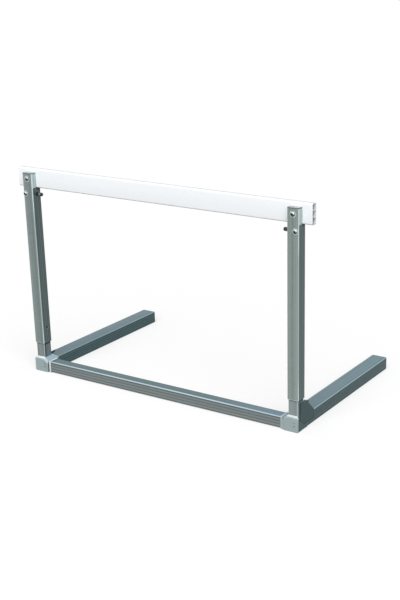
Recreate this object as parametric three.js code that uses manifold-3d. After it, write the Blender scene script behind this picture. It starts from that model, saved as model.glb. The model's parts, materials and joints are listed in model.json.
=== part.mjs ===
import * as THREE from "three";
import { mergeVertices } from "three/addons/utils/BufferGeometryUtils.js";
import Module from "manifold-3d";

const wasm = await Module();
wasm.setup();

// Track hurdle whose gate of two tubes and a crossbar slides up and down on two posts.
// Millimetres. X runs along the crossbar, -Y is the front, +Z is up. The origin lies
// on the floor under the middle of the outline. Each side is drawn around its own
// upright: x is measured outwards from the upright's middle, y back from its front
// face and z up from the floor. The left side is the mirror image of the right one.

// Crossbar, with the gate in its lowest setting
const lowestHeight = 762;
const heightPitch = 76.25;
const heightCount = 5;
const barLength = 1200;
const barHeight = 68;
const barDepth = 24;
const barWall = 2.2;
const barWeb = 1.5;
const barChamberCount = 3;
const barCorner = 5;
const barChamberCorner = 1.5;

// Upright tubes of the gate, whose middles stand this far in from the bar's ends
const barOverhang = 57;
const tubeWidth = 43;
const tubeDepth = 43;
const tubeWall = 2.5;
const tubeCorner = 4.5;
const tubeCornerInside = 2.5;
const tubeLowerEnd = 110;
const tubeGrooveCount = 3;
const tubeGroovePitch = 9;
const grooveWidth = 1.3;
const grooveDepth = 0.5;
const tongueDepth = 21.5;
const tongueDrop = 13.5;
const tongueCapThickness = 3;
const tongueCapPlug = 12;
const padThickness = 3;
const padSkirt = 6;
const padSkirtFront = 23;

// Posts inside the tubes
const postPlay = 0.5;
const postWall = 2;
const postCorner = 3;
const postCornerInside = 1;
const postHeadroom = 15;

// Corner castings
const castingInner = 38;
const castingOuter = 18.8;
const castingFront = 1;
const castingBack = 57;
const castingRearTop = 46.5;
const castingTop = 56;
const castingFloor = 8;
const pocketPlay = 0.3;
const shoulderStart = 17;
const shoulderMiddle = 27;
const shoulderMiddleDrop = 5.5;
const shoulderEndDrop = 14;
const topSlopeStart = 44;
const topSlopeEnd = 53;
const topBevelEnd = 2;
const topBevelDrop = 8;
const reliefWidth = 2.5;
const reliefDepth = 4;
const undersideWall = 4;
const undersideRoof = 6.5;
const collarLength = 9;
const collarProud = 1.5;
const collarTopProud = 1.5;
const collarCorner = 3;
const beamSocketPlay = 0.2;
const spigotLength = 40;
const spigotWall = 3;
const spigotPlay = 0.3;
const legSpigotOuter = 5;
const gussetThickness = 2.4;
const gussetFront = 15;
const gussetFrontTop = 96.5;
const gussetRearTop = 92.5;
const gussetTopEnd = 68.5;
const gussetRibEnd = 62;
const gussetShoulder = 81.8;
const gussetRear = 103;
const gussetHeel = 48;
const gussetBottom = 16.5;
const gussetToe = 37;
const gussetToeHeight = 34;
const gussetRibThickness = 9.3;
const gussetRibGap = 1;

// Front covers of the castings, each held by two small screws
const coverInner = 36;
const coverWidth = 59;
const coverThickness = 5;
const coverCorner = 2;
const coverNotchWidth = 7;
const coverNotchHeight = 5;
const coverScrewOffset = 15;
const coverScrewHeights = [21, 33];
const coverScrewHeadRadius = 2.4;
const coverScrewHeadHeight = 1;
const coverScrewRadius = 1.4;
const coverScrewReach = 2.2;
const coverScrewSlot = 0.7;

// Front floor beam
const beamSize = 41;
const beamFloorGap = 1.5;
const beamWall = 2;
const beamCorner = 3.5;
const beamCornerInside = 1.5;
const beamGrooveCount = 4;
const beamGroovePitch = 10.6;
const beamEnd = 40;

// Floor legs with their end caps and the weights that slide in them
const legWidth = 58.5;
const legHeight = 46.5;
const legWall = 2.2;
const legCorner = 3;
const legCornerInside = 1;
const legGrooveCount = 5;
const legGroovePitch = 7.9;
const legRear = 659;
const legClearance = 0.4;
const legToeLength = 8;
const legOpening = [[2.5, 57], [0, 67], [-8, 88], [-17, 103.5]];
const legCapThickness = 3;
const legCapPlug = 15;
const legCapWall = 2;
const legCapRim = 0.8;
const weightWidth = 45;
const weightHeight = 36;
const weightLength = 200;
const weightCorner = 2;
const weightFront = 120;
const weightSeat = 0.3;

// Screws of the bar and of the latch guides, with their nuts and washers
const headRadius = 8;
const headRimHeight = 1.2;
const headHeight = 4.6;
const domeSteps = 4;
const shankRadius = 3;
const screwPlay = 0.15;
const holePlay = 0.3;
const socketRadius = 3.5;
const socketDepth = 2.8;
const nutRadius = 5.8;
const nutThickness = 5;
const shankPastNut = 1.5;
const guideScrewOffset = 10;
const guideScrewRise = 3;
const guideScrewReach = 17.5;
const washerRadius = 10.5;
const washerThickness = 1.6;

// Latch in each upright: pulling the knob lifts a rod, which draws a bolt back.
// The sizes below describe it drawn.
const latchDepth = 24;
const latchDrop = 23;
const boltHeight = 167;
const latchTravel = 8;
const stemRadius = 3.5;
const boltRadius = 5;
const borePlay = 0.2;
const boltHoleRadius = 5.4;
const crossPinRadius = 1.5;
const slotPlay = 0.2;
const rodThickness = 3;
const rodPlay = 0.3;
const rodWidth = 8;
const plateRim = 2.3;
const endPlay = 0.5;
const boltTip = 13.5;
const boltTail = 4;
const boltChamfer = 1;
const stemTail = 4;
const guideSeat = 0.3;
const guideCorner = 2.5;
const guideBelowStem = 16;
const guideAboveStem = 19;
const housingHalfWidth = 14;
const housingFront = 8;
const housingBack = 32;
const housingAboveBolt = 17;
const housingFloor = 4.5;
const hangerFront = 12;
const hangerThickness = 3;
const hangerWidth = 16;
const hangerEar = 8;
const hangerTopGap = 7;
const bushRadius = 5.2;
const bushLength = 6;
const bushFlangeRadius = 7.2;
const bushFlangeThickness = 1.2;
const knobRadius = 6.6;
const knobCavityPlay = 0.3;
const knobLength = 9;
const knobCapLength = 4;
const knobCapCorner = 1;
const knobGrooveWidth = 1;
const knobGrooveDepth = 0.5;

// Cutting tools run past the faces that they cut by this much
const overrun = 3;
const arcSteps = 3;
const roundSteps = 20;
const hexagonSides = 6;

// Places worked out from the sizes above
const uprightX = barLength / 2 - barOverhang;
const tubeHalf = tubeWidth / 2;
const barBottom = lowestHeight - barHeight;
const barMiddle = lowestHeight - barHeight / 2;
const barFront = tongueDepth;
const barBack = barFront + barDepth;
const tongueTop = lowestHeight - tongueDrop - tongueCapThickness;
const ledgeHeight = barBottom - padThickness;
const latchHeight = barBottom - latchDrop;
const guideScrewHeight = latchHeight + guideScrewRise;
const guideBottom = latchHeight - guideBelowStem;
const guideTop = latchHeight + guideAboveStem;
const postHalf = tubeHalf - tubeWall - postPlay;
const postFront = tubeWall + postPlay;
const postBack = tubeDepth - tubeWall - postPlay;
const postTop = guideBottom - postHeadroom;
const legInner = legWidth - tubeHalf;
const coverMiddle = coverWidth / 2 - coverInner;
const coverFace = castingFront + coverThickness;
const slotRadius = crossPinRadius + slotPlay;
const plateHalf = latchTravel / 2 + slotRadius + plateRim;
const forkHalf = rodThickness / 2 + rodPlay;
const overallFront = coverFace + coverScrewHeadHeight;
const overallRear = legRear + legCapThickness;

function toSolid(geometry) {
  geometry.deleteAttribute("normal");
  geometry.deleteAttribute("uv");
  const merged = mergeVertices(geometry);
  const corners = merged.index.array;
  const triangles = [];
  for (let i = 0; i < corners.length; i += 3) {
    const [a, b, c] = corners.slice(i, i + 3);
    if (a !== b && b !== c && c !== a) triangles.push(a, b, c);
  }
  return new wasm.Manifold(new wasm.Mesh({
    numProp: 3,
    vertProperties: new Float32Array(merged.attributes.position.array),
    triVerts: new Uint32Array(triangles),
  }));
}

function toGeometry(solid, mirror) {
  const mesh = solid.getMesh();
  const positions = new Float32Array(mesh.vertProperties);
  const corners = new Uint32Array(mesh.triVerts);
  if (mirror) {
    for (let i = 0; i < positions.length; i += 3) positions[i] = -positions[i];
    for (let i = 0; i < corners.length; i += 3) {
      [corners[i + 1], corners[i + 2]] = [corners[i + 2], corners[i + 1]];
    }
  }
  const geometry = new THREE.BufferGeometry();
  geometry.setAttribute("position", new THREE.BufferAttribute(positions, 3));
  geometry.setIndex(new THREE.BufferAttribute(corners, 1));
  geometry.computeVertexNormals();
  return geometry;
}

function box([left, right], [front, back], [bottom, top]) {
  const geometry = new THREE.BoxGeometry(right - left, back - front, top - bottom);
  geometry.translate((left + right) / 2, (front + back) / 2, (bottom + top) / 2);
  return toSolid(geometry);
}

function cylinder(start, end, radius, segments = roundSteps) {
  const from = new THREE.Vector3(...start);
  const along = new THREE.Vector3(...end).sub(from);
  const geometry = new THREE.CylinderGeometry(radius, radius, along.length(), segments);
  geometry.translate(0, along.length() / 2, 0);
  return toSolid(turnTowards(geometry, from, along.normalize()));
}

// A turned piece: its profile lists pairs of radius and distance from the start
function turned(profile, start, direction, segments = roundSteps) {
  const points = profile.map(([radius, distance]) => new THREE.Vector2(radius, distance));
  const geometry = new THREE.LatheGeometry(points, segments);
  return toSolid(turnTowards(geometry, new THREE.Vector3(...start), new THREE.Vector3(...direction)));
}

function turnTowards(geometry, start, direction) {
  const turn = new THREE.Quaternion().setFromUnitVectors(new THREE.Vector3(0, 1, 0), direction);
  geometry.applyQuaternion(turn);
  geometry.translate(start.x, start.y, start.z);
  return geometry;
}

// A prism whose outline lies across the named axis, from one place on it to another
function prism(axis, shape, from, to) {
  return toSolid(prismGeometry(axis, shape, from, to));
}

function prismGeometry(axis, shape, from, to) {
  const geometry = new THREE.ExtrudeGeometry(shape, {
    depth: to - from,
    steps: 1,
    bevelEnabled: false,
    curveSegments: arcSteps,
  });
  const x = new THREE.Vector3(1, 0, 0);
  const y = new THREE.Vector3(0, 1, 0);
  const z = new THREE.Vector3(0, 0, 1);
  const frames = {
    x: [new THREE.Matrix4().makeBasis(y, z, x), [from, 0, 0]],
    y: [new THREE.Matrix4().makeBasis(x, z, y.clone().negate()), [0, to, 0]],
    z: [new THREE.Matrix4(), [0, 0, from]],
  };
  const [turn, shift] = frames[axis];
  geometry.applyMatrix4(turn);
  return geometry.translate(...shift);
}

function polygon(points) {
  return new THREE.Shape(points.map(([u, v]) => new THREE.Vector2(u, v)));
}

// Evenly spread places around a middle
function spread(count, pitch, middle) {
  return Array.from({ length: count }, (_, i) => middle + (i - (count - 1) / 2) * pitch);
}

// A rectangle with round corners and, on chosen sides, square grooves
function outline([left, right], [bottom, top], radius, grooves = {}) {
  const sides = [
    { places: grooves.bottom, point: (along, inset) => [along, bottom + inset], step: 1 },
    { places: grooves.right, point: (along, inset) => [right - inset, along], step: 1 },
    { places: grooves.top, point: (along, inset) => [along, top - inset], step: -1 },
    { places: grooves.left, point: (along, inset) => [left + inset, along], step: -1 },
  ];
  const centres = [
    [right - radius, bottom + radius],
    [right - radius, top - radius],
    [left + radius, top - radius],
    [left + radius, bottom + radius],
  ];
  const path = new THREE.Shape();
  path.moveTo(left + radius, bottom);
  sides.forEach(({ places = [], point, step }, side) => {
    const ordered = step > 0 ? places : [...places].reverse();
    for (const place of ordered) {
      const near = place - step * grooveWidth / 2;
      const far = place + step * grooveWidth / 2;
      path.lineTo(...point(near, 0));
      path.lineTo(...point(near, grooveDepth));
      path.lineTo(...point(far, grooveDepth));
      path.lineTo(...point(far, 0));
    }
    const start = (side - 1) * Math.PI / 2;
    path.absarc(...centres[side], radius, start, start + Math.PI / 2, false);
  });
  return path;
}

function hollow(shape, holes) {
  shape.holes.push(...holes);
  return shape;
}

// Outlines that several pieces share
const tubeOutline = (grooves) => outline([-tubeHalf, tubeHalf], [0, tubeDepth], tubeCorner, grooves);
const tubeInside = (gap) => outline(
  [gap + tubeWall - tubeHalf, tubeHalf - tubeWall - gap],
  [tubeWall + gap, tubeDepth - tubeWall - gap],
  tubeCornerInside,
);
const postOutline = () => outline([-postHalf, postHalf], [postFront, postBack], postCorner);
const legOutline = (grooves) => outline([-legInner, tubeHalf], [0, legHeight], legCorner, grooves);
const legInside = (gap) => outline(
  [legWall + gap - legInner, tubeHalf - legWall - gap],
  [legWall + gap, legHeight - legWall - gap],
  legCornerInside,
);
const beamInside = (gap) => outline(
  [beamWall + gap, beamSize - beamWall - gap],
  [beamFloorGap + beamWall + gap, beamFloorGap + beamSize - beamWall - gap],
  beamCornerInside,
);

function crossbar() {
  const inside = barHeight - 2 * barWall - (barChamberCount - 1) * barWeb;
  const chamberHeight = inside / barChamberCount;
  const chambers = [];
  for (let i = 0; i < barChamberCount; i += 1) {
    const bottom = barBottom + barWall + i * (chamberHeight + barWeb);
    const across = [barFront + barWall, barBack - barWall];
    chambers.push(outline(across, [bottom, bottom + chamberHeight], barChamberCorner));
  }
  const section = hollow(outline([barFront, barBack], [barBottom, lowestHeight], barCorner), chambers);
  let bar = prism("x", section, -barLength / 2, barLength / 2);
  for (const x of [-uprightX, uprightX]) {
    const hole = [[x, barFront - overrun, barMiddle], [x, barBack + overrun, barMiddle]];
    bar = bar.subtract(cylinder(...hole, shankRadius + holePlay));
  }
  return bar;
}

function uprightTube() {
  const grooves = { bottom: spread(tubeGrooveCount, tubeGroovePitch, 0) };
  const section = hollow(tubeOutline(grooves), [tubeInside(0)]);
  const across = [-tubeHalf - overrun, tubeHalf + overrun];
  const aboveTube = lowestHeight + overrun;
  return prism("z", section, tubeLowerEnd, tongueTop)
    .subtract(box(across, [tongueDepth, tubeDepth + overrun], [ledgeHeight, aboveTube]))
    .subtract(box(across, [padSkirtFront, tubeDepth + overrun], [ledgeHeight - padSkirt, aboveTube]))
    .subtract(screwHole(0, barMiddle))
    .subtract(screwHole(guideScrewOffset, guideScrewHeight))
    .subtract(innerWallHole(latchHeight, bushRadius + holePlay))
    .subtract(innerWallHole(boltHeight, boltHoleRadius));
}

function screwHole(x, height) {
  return cylinder([x, -overrun, height], [x, tubeWall + overrun, height], shankRadius + holePlay);
}

function innerWallHole(height, radius) {
  const start = [-tubeHalf - overrun, latchDepth, height];
  return cylinder(start, [tubeWall + postPlay + postWall - tubeHalf, latchDepth, height], radius);
}

function tongueCap() {
  const plate = prism("z", tubeOutline(), tongueTop, tongueTop + tongueCapThickness);
  const plug = prism("z", tubeInside(guideSeat), tongueTop - tongueCapPlug, tongueTop);
  const behind = box(
    [-tubeHalf - overrun, tubeHalf + overrun],
    [tongueDepth, tubeDepth + overrun],
    [tongueTop - tongueCapPlug - overrun, tongueTop + tongueCapThickness + overrun],
  );
  return plate.add(plug).subtract(behind);
}

function ledgePad() {
  const across = [-tubeHalf - overrun, tubeHalf + overrun];
  const skirtBottom = ledgeHeight - padSkirt + guideSeat;
  const plate = prism("z", tubeOutline(), ledgeHeight, barBottom)
    .subtract(box(across, [-overrun, tongueDepth + guideSeat], [skirtBottom, barBottom + overrun]));
  const skirt = prism("z", hollow(tubeOutline(), [tubeInside(0)]), skirtBottom, ledgeHeight)
    .subtract(box(across, [-overrun, padSkirtFront + guideSeat], [skirtBottom - overrun, barBottom]));
  return plate.add(skirt);
}

// Button head with a hexagon socket, its seat at the given place, its shank going back
function buttonScrew(x, seat, height, end) {
  const dome = Array.from({ length: domeSteps + 1 }, (_, i) => {
    const angle = Math.PI / 2 * i / domeSteps;
    const rise = (headHeight - headRimHeight) * Math.cos(angle);
    return [headRadius * Math.sin(angle), -headRimHeight - rise];
  });
  const profile = [
    ...dome,
    [headRadius, 0],
    [shankRadius, 0],
    [shankRadius, end - seat],
    [0, end - seat],
  ];
  const headTop = seat - headHeight;
  const socket = [[x, headTop - overrun, height], [x, headTop + socketDepth, height]];
  return turned(profile, [x, seat, height], [0, 1, 0])
    .subtract(cylinder(...socket, socketRadius, hexagonSides));
}

const barScrew = () => buttonScrew(0, 0, barMiddle, barBack + nutThickness + shankPastNut);
const guideScrew = () => (
  buttonScrew(guideScrewOffset, -washerThickness, guideScrewHeight, guideScrewReach)
);

function ring(start, direction, radius, bore, thickness, segments) {
  const profile = [[bore, 0], [radius, 0], [radius, thickness], [bore, thickness], [bore, 0]];
  return turned(profile, start, direction, segments);
}

function barNut() {
  const faces = [[0, barBack, barMiddle], [0, barBack + nutThickness, barMiddle]];
  const through = [
    [0, barBack - overrun, barMiddle],
    [0, barBack + nutThickness + overrun, barMiddle],
  ];
  return cylinder(...faces, nutRadius, hexagonSides)
    .subtract(cylinder(...through, shankRadius + screwPlay));
}

function guideWasher() {
  const start = [guideScrewOffset, -washerThickness, guideScrewHeight];
  return ring(start, [0, 1, 0], washerRadius, shankRadius + holePlay, washerThickness);
}

function guideBlock() {
  const half = forkHalf;
  const rodSlot = box(
    [-plateHalf - rodPlay, plateHalf + rodPlay],
    [latchDepth - half, latchDepth + half],
    [guideBottom - overrun, latchHeight + latchTravel / 2 + plateHalf + endPlay],
  );
  const hangerSlot = box(
    [-hangerWidth / 2 - rodPlay, hangerWidth / 2 + hangerEar + rodPlay],
    [hangerFront - rodPlay, hangerFront + hangerThickness + rodPlay],
    [guideBottom - overrun, guideTop - hangerTopGap + rodPlay],
  );
  const stemBore = cylinder(
    [-tubeHalf - overrun, latchDepth, latchHeight],
    [latchTravel / 2 + stemTail + endPlay, latchDepth, latchHeight],
    stemRadius + borePlay,
  );
  const screwBore = cylinder(
    [guideScrewOffset, -overrun, guideScrewHeight],
    [guideScrewOffset, guideScrewReach + endPlay, guideScrewHeight],
    shankRadius + screwPlay,
  );
  const section = outline(
    [guideSeat + tubeWall - tubeHalf, tubeHalf - tubeWall - guideSeat],
    [tubeWall + guideSeat, tubeDepth - tubeWall - guideSeat],
    guideCorner,
  );
  return prism("z", section, guideBottom, guideTop)
    .subtract(rodSlot)
    .subtract(hangerSlot)
    .subtract(stemBore)
    .subtract(screwBore);
}

// Strip that hangs from the guide block and carries the housing of the bolt
function latchHanger() {
  const stripAcross = [-hangerWidth / 2, hangerWidth / 2];
  const stripDepth = [hangerFront, hangerFront + hangerThickness];
  const housingTop = boltHeight + housingAboveBolt;
  const earTop = guideTop - hangerTopGap;
  const rodBottom = boltHeight + latchTravel / 2 - latchTravel - plateHalf - endPlay;
  const housingBottom = rodBottom - housingFloor;
  const middle = latchTravel / 2;
  const strip = box(stripAcross, stripDepth, [boltHeight, earTop]);
  const ear = box([0, hangerWidth / 2 + hangerEar], stripDepth, [guideBottom + rodPlay, earTop]);
  const earHole = cylinder(
    [guideScrewOffset, hangerFront - overrun, guideScrewHeight],
    [guideScrewOffset, hangerFront + hangerThickness + overrun, guideScrewHeight],
    shankRadius + screwPlay,
  );
  const housing = box(
    [-housingHalfWidth, housingHalfWidth],
    [housingFront, housingBack],
    [housingBottom, housingTop],
  );
  const bore = cylinder(
    [-housingHalfWidth - overrun, latchDepth, boltHeight],
    [housingHalfWidth + overrun, latchDepth, boltHeight],
    boltRadius + borePlay,
  );
  const rodSlot = box(
    [middle - plateHalf - rodPlay, middle + plateHalf + rodPlay],
    [latchDepth - forkHalf, latchDepth + forkHalf],
    [rodBottom, housingTop + overrun],
  );
  return housing.subtract(bore).subtract(rodSlot).add(strip).add(ear).subtract(earHole);
}

// Slanted slot in the rod that carries a cross pin sideways as the rod rises
function slantedSlot(x, height, slant) {
  const half = latchTravel / 2;
  const angle = Math.atan2(slant, 1);
  const path = new THREE.Shape();
  path.absarc(x - half, height - slant * half, slotRadius, angle + Math.PI / 2, angle + 3 * Math.PI / 2);
  path.absarc(x + half, height + slant * half, slotRadius, angle - Math.PI / 2, angle + Math.PI / 2);
  return prism("y", path, latchDepth - rodThickness, latchDepth + rodThickness);
}

function latchRod() {
  const depth = [latchDepth - rodThickness / 2, latchDepth + rodThickness / 2];
  const half = latchTravel / 2;
  const upper = latchHeight + half;
  const lower = boltHeight + half;
  const plate = (x, height) => box(
    [x - plateHalf, x + plateHalf],
    depth,
    [height - plateHalf, height + plateHalf],
  );
  return box([half - rodWidth / 2, half + rodWidth / 2], depth, [lower, upper])
    .add(plate(0, upper))
    .add(plate(half, lower))
    .subtract(slantedSlot(0, upper, 1))
    .subtract(slantedSlot(half, lower, -1));
}

// Round shaft along x with a fork for the rod at its outer end and a pin across it
function forkedShaft(shaft, radius, height, pinX, tail, forkEnd) {
  const fork = box(
    [forkEnd, tail + overrun],
    [latchDepth - forkHalf, latchDepth + forkHalf],
    [height - radius - overrun, height + radius + overrun],
  );
  const pin = cylinder(
    [pinX, latchDepth - radius - overrun, height],
    [pinX, latchDepth + radius + overrun, height],
    crossPinRadius,
  );
  return shaft.subtract(fork).add(pin.intersect(shaft));
}

const bushEnd = tubeHalf + bushLength;
const knobBase = tubeHalf + bushFlangeThickness + endPlay + latchTravel;
const knobEnd = knobBase + knobLength;

function knobStem() {
  const pinX = -latchTravel / 2;
  const tail = pinX + stemTail;
  const shaft = cylinder([tail, latchDepth, latchHeight], [-knobEnd, latchDepth, latchHeight], stemRadius);
  const forkEnd = pinX - latchTravel / 2 - plateHalf - endPlay;
  return forkedShaft(shaft, stemRadius, latchHeight, pinX, tail, forkEnd);
}

function latchBolt() {
  const pinX = latchTravel;
  const tail = pinX + boltTail;
  const length = boltTip + tail;
  const profile = [
    [0, 0],
    [boltRadius, 0],
    [boltRadius, length - boltChamfer],
    [boltRadius - boltChamfer, length],
    [0, length],
  ];
  const shaft = turned(profile, [tail, latchDepth, boltHeight], [-1, 0, 0]);
  const forkEnd = latchTravel / 2 - plateHalf - rodPlay - endPlay;
  return forkedShaft(shaft, boltRadius, boltHeight, pinX, tail, forkEnd);
}

function knobBush() {
  const start = [tubeWall - tubeHalf, latchDepth, latchHeight];
  const bore = stemRadius + borePlay;
  const profile = [
    [bore, 0],
    [bushRadius, 0],
    [bushRadius, tubeWall],
    [bushFlangeRadius, tubeWall],
    [bushFlangeRadius, tubeWall + bushFlangeThickness],
    [bushRadius, tubeWall + bushFlangeThickness],
    [bushRadius, bushLength + tubeWall],
    [bore, bushLength + tubeWall],
    [bore, 0],
  ];
  return turned(profile, start, [-1, 0, 0]);
}

// Sleeve of the knob: its wide mouth slips over the bush when the knob is let go
function knobGrip() {
  const bore = stemRadius + screwPlay;
  const mouth = bushRadius + knobCavityPlay;
  const mouthDepth = bushEnd - knobBase + latchTravel + endPlay;
  const neck = knobRadius - knobGrooveDepth;
  const grooveStart = knobLength - 2 * knobGrooveWidth;
  const profile = [
    [mouth, 0],
    [knobRadius, 0],
    [knobRadius, grooveStart],
    [neck, grooveStart],
    [neck, grooveStart + knobGrooveWidth],
    [knobRadius, grooveStart + knobGrooveWidth],
    [knobRadius, knobLength],
    [bore, knobLength],
    [bore, mouthDepth],
    [mouth, mouthDepth],
    [mouth, 0],
  ];
  return turned(profile, [-knobBase, latchDepth, latchHeight], [-1, 0, 0]);
}

function knobCap() {
  const profile = [
    [0, 0],
    [knobRadius, 0],
    [knobRadius, knobCapLength - knobCapCorner],
    [knobRadius - knobCapCorner, knobCapLength],
    [0, knobCapLength],
  ];
  return turned(profile, [-knobEnd, latchDepth, latchHeight], [-1, 0, 0]);
}

function innerPost() {
  const inside = outline(
    [postWall - postHalf, postHalf - postWall],
    [postFront + postWall, postBack - postWall],
    postCornerInside,
  );
  let post = prism("z", hollow(postOutline(), [inside]), castingFloor, postTop);
  for (let i = 0; i < heightCount; i += 1) {
    post = post.subtract(innerWallHole(boltHeight + i * heightPitch, boltHoleRadius));
  }
  return post;
}

// Where the two small screws of a cover stand on the given side
function coverScrewX(side) {
  return coverMiddle + side * coverScrewOffset;
}

function coverScrewHoles(side) {
  const x = coverScrewX(side);
  return coverScrewHeights.map((height) => cylinder(
    [x, -coverFace - overrun, height],
    [x, coverScrewReach + holePlay, height],
    coverScrewRadius + screwPlay,
  ));
}

// Sloping shoulder of the casting towards the front beam, seen from the front
function shoulder() {
  return [
    [-shoulderStart, castingTop],
    [-shoulderMiddle, castingTop - shoulderMiddleDrop],
    [-castingInner, castingTop - shoulderEndDrop],
  ];
}

// Room over the bevel that leads from the cover's face up to the casting's top
function aboveTopBevel() {
  const outer = coverWidth - coverInner;
  const roof = castingTop + topBevelDrop + overrun;
  const above = polygon([
    [outer + overrun, roof],
    [-castingInner - overrun, roof],
    [-castingInner - overrun, castingTop - shoulderEndDrop],
    ...shoulder().reverse(),
    [outer - coverCorner, castingTop],
    [outer, castingTop - coverCorner],
    [outer + overrun, castingTop - coverCorner],
  ]);
  const slope = topBevelDrop / (topBevelEnd + coverFace);
  const geometry = prismGeometry("y", above, -coverFace - overrun, topBevelEnd);
  geometry.applyMatrix4(new THREE.Matrix4().makeShear(0, 0, 0, slope, 0, 0));
  geometry.translate(0, 0, -slope * topBevelEnd);
  return toSolid(geometry);
}

function castingBody() {
  const frontView = polygon([
    [-castingInner, 0],
    [castingOuter, 0],
    [castingOuter, castingTop],
    ...shoulder(),
  ]);
  const sideView = polygon([
    [-castingFront, 0],
    [castingBack, 0],
    [castingBack, castingRearTop],
    [topSlopeEnd, castingRearTop],
    [topSlopeStart, castingTop],
    [-castingFront, castingTop],
  ]);
  const pocket = box(
    [-postHalf - pocketPlay, castingOuter + overrun],
    [postFront - pocketPlay, postBack + pocketPlay],
    [castingFloor, castingTop + overrun],
  );
  const relief = box(
    [-castingInner - overrun, reliefWidth - castingInner],
    [-castingFront - overrun, reliefDepth - castingFront],
    [-overrun, castingTop + overrun],
  );
  const underside = box(
    [undersideWall - castingInner, castingOuter - undersideWall],
    [postBack + pocketPlay + undersideWall, castingBack - undersideWall],
    [-overrun, castingRearTop - undersideRoof],
  );
  return prism("y", frontView, -castingFront, castingBack)
    .intersect(prism("x", sideView, -castingInner, castingOuter))
    .subtract(pocket)
    .subtract(relief)
    .subtract(underside)
    .subtract(aboveTopBevel());
}

// Collar around the end of the front beam, with a hollow spigot inside the beam
function beamCollar() {
  const inner = -castingInner - collarLength;
  const socketEnd = pocketPlay - beamEnd;
  const beamTop = beamFloorGap + beamSize;
  const band = outline([-collarProud, beamSize + collarProud], [0, beamTop + collarTopProud], collarCorner);
  const plan = outline([inner, -castingInner], [-collarProud, beamSize + collarProud], collarCorner);
  const socket = outline(
    [-beamSocketPlay, beamSize + beamSocketPlay],
    [beamFloorGap - beamSocketPlay, beamTop + beamSocketPlay],
    beamCorner,
  );
  const spigot = hollow(beamInside(spigotPlay), [beamInside(spigotPlay + spigotWall)]);
  return prism("x", band, inner, -castingInner)
    .intersect(prism("z", plan, 0, beamTop + collarTopProud))
    .subtract(prism("x", socket, inner - overrun, socketEnd))
    .add(prism("x", spigot, -beamEnd - spigotLength, socketEnd));
}

// Hollow spigot behind the casting that the leg is pushed over
function legSpigot() {
  const across = [legWall + spigotPlay - legInner, -legSpigotOuter];
  const upright = [legWall + spigotPlay, legHeight - legWall - spigotPlay];
  const inset = ([from, to]) => [from + spigotWall, to - spigotWall];
  const section = hollow(
    outline(across, upright, legCornerInside),
    [outline(inset(across), inset(upright), legCornerInside)],
  );
  return prism("y", section, castingBack, castingBack + spigotLength);
}

// Flat gusset on the outer side, with a thick rib behind the post. Its rear edge
// slopes down to the leg on the right and is upright on the left.
function gusset(side) {
  const rear = side > 0
    ? [[gussetRear, gussetHeel], [gussetTopEnd, gussetShoulder]]
    : [[gussetRear, legHeight], [gussetTopEnd, legHeight]];
  const plate = polygon([
    [gussetToe, gussetBottom],
    [gussetRear, gussetBottom],
    ...rear,
    [gussetTopEnd, gussetRearTop],
    [gussetFront, gussetFrontTop],
    [gussetFront, gussetToeHeight],
  ]);
  const rib = box(
    [castingOuter - gussetRibThickness, castingOuter],
    [postBack + gussetRibGap, gussetRibEnd],
    [castingRearTop, gussetRearTop],
  );
  return prism("x", plate, castingOuter, castingOuter + gussetThickness).add(rib);
}

function cornerCasting(side) {
  let casting = castingBody().add(beamCollar()).add(legSpigot()).add(gusset(side));
  for (const hole of coverScrewHoles(side)) casting = casting.subtract(hole);
  return casting;
}

function frontCover(side) {
  const outer = coverWidth - coverInner;
  const face = polygon([
    [coverNotchWidth - coverInner, 0],
    [outer - coverCorner, 0],
    [outer, coverCorner],
    [outer, castingTop],
    [-coverInner, castingTop],
    [-coverInner, coverNotchHeight],
    [coverNotchWidth / 2 - coverInner, coverNotchHeight / 2],
  ]);
  let cover = prism("y", face, -coverFace, -castingFront).subtract(aboveTopBevel());
  for (const hole of coverScrewHoles(side)) cover = cover.subtract(hole);
  return cover;
}

function coverScrew(side, height) {
  const x = coverScrewX(side);
  const profile = [
    [0, -coverScrewHeadHeight],
    [coverScrewHeadRadius - coverScrewHeadHeight / 2, -coverScrewHeadHeight],
    [coverScrewHeadRadius, -coverScrewHeadHeight / 2],
    [coverScrewHeadRadius, 0],
    [coverScrewRadius, 0],
    [coverScrewRadius, coverFace + coverScrewReach],
    [0, coverFace + coverScrewReach],
  ];
  const half = coverScrewSlot / 2;
  const slot = box(
    [x - coverScrewHeadRadius - overrun, x + coverScrewHeadRadius + overrun],
    [-coverFace - coverScrewHeadHeight - overrun, -coverFace - coverScrewHeadHeight / 2],
    [height - half, height + half],
  );
  return turned(profile, [x, -coverFace, height], [0, 1, 0], roundSteps).subtract(slot);
}

function frontBeam() {
  const end = uprightX - beamEnd;
  const heights = [beamFloorGap, beamFloorGap + beamSize];
  const grooves = { left: spread(beamGrooveCount, beamGroovePitch, beamFloorGap + beamSize / 2) };
  const section = hollow(outline([0, beamSize], heights, beamCorner, grooves), [beamInside(0)]);
  return prism("x", section, -end, end);
}

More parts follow.
